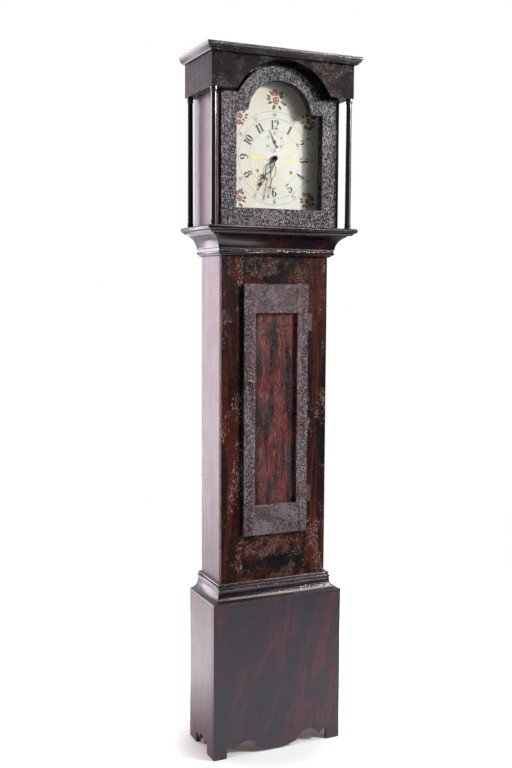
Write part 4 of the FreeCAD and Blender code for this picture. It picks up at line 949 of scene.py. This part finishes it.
# %% Spin a profile
def turned(name, profile, places, axis, material, body, steps=32, stands_for=()):
    """The same lathe-turned shape at each place: profile points are (radius, distance along axis)."""
    shape = bmesh.new()
    spin = Vector((0, 0, 1)).rotation_difference(Vector(axis)).to_matrix().to_4x4()
    for place in places:
        line = [shape.verts.new((radius, 0, height)) for radius, height in profile]
        edges = [shape.edges.new(pair) for pair in zip(line, line[1:])]
        bmesh.ops.spin(
            shape, geom=line + edges, cent=(0, 0, 0), axis=(0, 0, 1), steps=steps, angle=2 * math.pi
        )
        new = [vert for vert in shape.verts if vert.tag is False]
        bmesh.ops.transform(shape, matrix=Matrix.Translation(place) @ spin, verts=new)
        for vert in new:
            vert.tag = True
    bmesh.ops.remove_doubles(shape, verts=shape.verts, dist=1e-6)
    bmesh.ops.recalc_face_normals(shape, faces=shape.faces)
    for face in shape.faces:
        face.smooth = True
    mesh = meshed(name, shape)
    mesh.set_sharp_from_angle(angle=math.radians(35))
    return show(name, mesh, material, body, stands_for)


# %% Rings round the winding holes and the keyhole
rim = [(0.0036, -0.0002), (0.0036, 0.0006), (0.0042, 0.0009), (0.0056, 0.0007), (0.0061, 0)]
turned("winding_rings", rim, [(place.x, dial_low.y, place.z) for place in winding], (0, -1, 0), brass,
       "case")
low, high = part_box("waist_door_escutcheon")
thread = [(0.0115, 0), (0.0113, 0.0012), (0.0119, 0.0022), (0.0132, 0.0025), (0.0145, 0.0021)]
thread += [(0.0150, 0.0010), (0.0150, 0)]
keyhole = (low + high) / 2
turned("keyhole_ring", thread, [(keyhole.x, high.y, keyhole.z)], (0, -1, 0), keyhole_brass, "waist_door",
       48, ["waist_door_escutcheon"])

# %% [markdown]
# ## Hands
# The hands are sawn out of thin steel and blued: open loops, a scrolled cross-piece and a leaf
# point, all slender. A flat curve fills itself and leaves its inner outline as a hole, and a
# small bevel gives the filed edge. The hand is drawn pointing up and then turned to its hour.

# %% Saw out a hand
def from_curve(curve):
    """The mesh of a curve; the object that held it goes again."""
    holder = bpy.data.objects.new("curve", curve)
    scene.collection.objects.link(holder)
    graph = bpy.context.evaluated_depsgraph_get()
    mesh = bpy.data.meshes.new_from_object(holder.evaluated_get(graph))
    bpy.data.objects.remove(holder)
    return mesh


def sawn(outlines, thick):
    """A filled, bevelled mesh from closed outlines of (x, z) points; inner ones are holes."""
    curve = bpy.data.curves.new("saw", "CURVE")
    curve.dimensions = "2D"
    curve.fill_mode = "BOTH"
    curve.extrude = thick / 2 - 0.0001
    curve.bevel_depth = 0.0001
    curve.resolution_u = 5
    for points in outlines:
        spline = curve.splines.new("BEZIER")
        spline.bezier_points.add(len(points) - 1)
        spline.use_cyclic_u = True
        for knot, (x, z, corner) in zip(spline.bezier_points, points):
            knot.co = (x, z, 0)
            kind = "VECTOR" if corner else "AUTO"
            knot.handle_left_type = kind
            knot.handle_right_type = kind
    return from_curve(curve)


def mirrored(half):
    """A closed outline from its right half, given from bottom to top."""
    return half + [(-x, z, corner) for x, z, corner in reversed(half) if x > 0]


def loop(start, end, half, web):
    """An oval loop of the hand, as its outer and inner outlines."""
    mid = start + 0.45 * (end - start)
    outer = mirrored([(0, start, 1), (0.62 * half, start + 0.18 * (end - start), 0), (half, mid, 0),
                      (0.55 * half, start + 0.78 * (end - start), 0), (0, end, 1)])
    gap = half - web
    inner = mirrored([(0, start + 1.6 * web, 1), (0.60 * gap, start + 0.22 * (end - start), 0),
                      (gap, mid, 0),
                      (0.50 * gap, start + 0.76 * (end - start), 0), (0, end - 2.2 * web, 1)])
    return [outer, inner]


def hand(node, angle, centre, parts):
    """Joins the sawn parts of one hand, turns them to angle, and replaces the CAD hand."""
    low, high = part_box(node)
    shape = bmesh.new()
    for index, outlines in enumerate(parts):
        scaled = [[(x / 1000, z / 1000, corner) for x, z, corner in points] for points in outlines]
        shape.from_mesh(sawn(scaled, high.y - low.y - 0.00003 * index))
    turn = Matrix.Rotation(math.radians(angle), 4, "Y") @ Matrix.Rotation(math.radians(90), 4, "X")
    shape.transform(Matrix.Translation((centre.x, (low.y + high.y) / 2, centre.z)) @ turn)
    mesh = meshed(node, shape)
    return show("sawn_" + node, mesh, blued, node_body[node], [node])


def round_hole(radius, hole):
    circles = []
    for size in (radius, hole):
        turns = [math.pi * k / 6 for k in range(12)]
        circles.append([(size * math.sin(a), size * math.cos(a), 0) for a in turns])
    return circles


def bar(start, end, low_half, high_half):
    return [mirrored([(low_half, start, 1), (high_half, end, 1)])]


def crosspiece(z, half, tall):
    """A small scrolled cross-bar with up-curled ends."""
    corners = [(0, -1), (0.55, -0.4), (0.9, -0.9), (1, 0.4), (0.75, 1), (0.45, 0.5), (0, 1)]
    return [mirrored([(across * half, z + rise * tall, 0) for across, rise in corners])]


hour_parts = [round_hole(8.0, 5.0), bar(6.5, 17, 2.2, 1.4), loop(12, 60, 12.0, 2.1),
              bar(56, 67, 1.6, 1.8),
              crosspiece(67, 12, 3.2), loop(68, 93, 6.0, 1.9),
              [mirrored([(0, 86.5, 1), (3.6, 93, 0), (0, 99, 1)])]]
minute_parts = [round_hole(7.0, 3.5), bar(5.5, 22, 2.0, 1.2), loop(18, 68, 10.0, 1.9),
                bar(64, 90, 1.4, 1.4),
                crosspiece(90, 8.5, 2.1), loop(91, 117, 4.4, 1.4),
                [mirrored([(0, 112.5, 1), (2.2, 117, 0), (0, 125, 1)])]]
counterpoise = [[(x, z - 16, corner) for x, z, corner in circle] for circle in round_hole(3.4, 1.2)]
seconds_parts = [round_hole(4.6, 1.5), bar(3.8, 37, 0.9, 0.35), bar(-13, -3.8, 0.6, 0.9), counterpoise]
hand("hour_hand", 212, hub, hour_parts)
hand("minute_hand", 192, hub, minute_parts)
hand("seconds_hand", 332, seconds, seconds_parts)
low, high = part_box("minute_hand")
washer = [(0.0052, 0), (0.0050, 0.0010), (0.0036, 0.0019), (0.0031, 0.0034), (0, 0.0038)]
turned("hand_collet", washer, [(hub.x, low.y, hub.z)], (0, -1, 0), blued, "centre_arbor")
print("hands sawn: 3")

# %% [markdown]
# ## Cord and nails
# Gut cord winds on each barrel, drops through the seat board to the pulley, and comes back up to
# a knot. The backboard is nailed on with old cut nails. A helix of points makes the turns; a
# wrapped texture would save the points, but the cord has to stand out round the barrel.

# %% Wind the gut
def corded(name, points, radius, body):
    """A round cord through the points."""
    curve = bpy.data.curves.new(name, "CURVE")
    curve.dimensions = "3D"
    curve.bevel_depth = radius
    curve.bevel_resolution = 2
    curve.use_fill_caps = True
    line = curve.splines.new("POLY")
    line.points.add(len(points) - 1)
    for knot, (x, y, z) in zip(line.points, points):
        knot.co = (x, y, z, 1)
    mesh = from_curve(curve)
    for face in mesh.polygons:
        face.use_smooth = True
    return show(name, mesh, gut, body)


POINTS_A_TURN = 24
TURNS = 9
TURN_PITCH = 0.0023
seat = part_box("seat_board")[1].z
for side, train in ((1, "going"), (-1, "strike")):
    low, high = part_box(train + "_line")
    thick = (high.y - low.y) / 2
    drop, arbor = (high.x - thick, low.x + thick) if side > 0 else (low.x + thick, high.x - thick)
    centre = (drop + arbor) / 2
    reach = abs(drop - centre)
    level = (low.y + high.y) / 2
    axle = middle(train + "_barrel").z
    rounds = []
    for step in range(POINTS_A_TURN * TURNS + 1):
        a = 2 * math.pi * step / POINTS_A_TURN
        x, z = centre + side * reach * math.cos(a), axle + reach * math.sin(a)
        rounds.append((x, level + TURN_PITCH * step / POINTS_A_TURN, z))
    slack = thick * 0.95                # thin enough to clear the barrel it winds on
    corded(train + "_turns", rounds, slack, train + "_barrel")
    corded(train + "_lead", [(drop, level, seat), (drop, level, axle)], slack, "case")
    knot = [(0, 0.0075), (0.0022, 0.007), (0.0034, 0.0045), (0.0030, 0.002), (0.0016, 0)]
    turned(train + "_knot", knot, [(arbor, level, seat)], (0, 0, 1), gut, "case", 16)
    print(train, "cord", [round(value, 4) for value in (centre, reach, level, axle, seat)])

# %% Nail the backboard
low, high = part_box("backboard")
head = [(0, 0.0009), (0.0018, 0.0008), (0.0028, 0.0003), (0.0030, 0)]
NAIL_LINE = 0.150                       # metres from the middle of the board to each row
FIRST_NAIL = 0.06
NAIL_SPACING = 0.19
nails = [
    (side * NAIL_LINE, high.y, low.z + FIRST_NAIL + NAIL_SPACING * step)
    for side in (-1, 1) for step in range(11)
]
turned("back_nails", head, nails, (0, 1, 0), iron, "case", 10)
print("nails:", len(nails))

# %% [markdown]
# ## Floor
# The clock stands on a plain pale floor that fades into the background. A disc takes the
# shadow, and its alpha falls to nothing with distance, so no horizon shows. The part behind the
# clock glows a little, as a lit paper sweep would, and whitens the foot of the left side.

# %% Lay the floor
FLOOR_RADIUS = 2.5
JUST_BELOW = 0.0005                     # keeps the floor clear of the feet
floor_paint, tree, shader, here = finish("floor", Roughness=0.7)
far = add(tree, "VectorMath", {0: here}, operation="LENGTH").outputs["Value"]
colour = lay(tree, cloud(tree, here, 3.0), rgb(0.93, 0.93, 0.93), rgb(0.91, 0.91, 0.91))
tree.links.new(colour, shader.inputs["Base Color"])
tree.links.new(spread(tree, far, 2.4, 0.5, 0.0, 1.0), shader.inputs["Alpha"])
shader.inputs["Emission Color"].default_value = rgb(1, 1, 1)
lift = add(tree, "LightPath").outputs["Is Camera Ray"]
lift = times(tree, lift, spread(tree, far, 0.15, 0.40, 0.0, 0.8))
behind = spread(tree, add(tree, "SeparateXYZ", {0: here}).outputs["Y"], 0.1, 0.8, 0.0, 2.6)
tree.links.new(sums(tree, "MAXIMUM", lift, behind), shader.inputs["Emission Strength"])
disc = bmesh.new()
bmesh.ops.create_circle(disc, cap_ends=True, segments=96, radius=FLOOR_RADIUS)
floor_mesh = meshed("floor", disc)
floor_mesh.materials.append(floor_paint)
floor = bpy.data.objects.new("floor", floor_mesh)
scene.collection.objects.link(floor)
floor.location.z = -JUST_BELOW
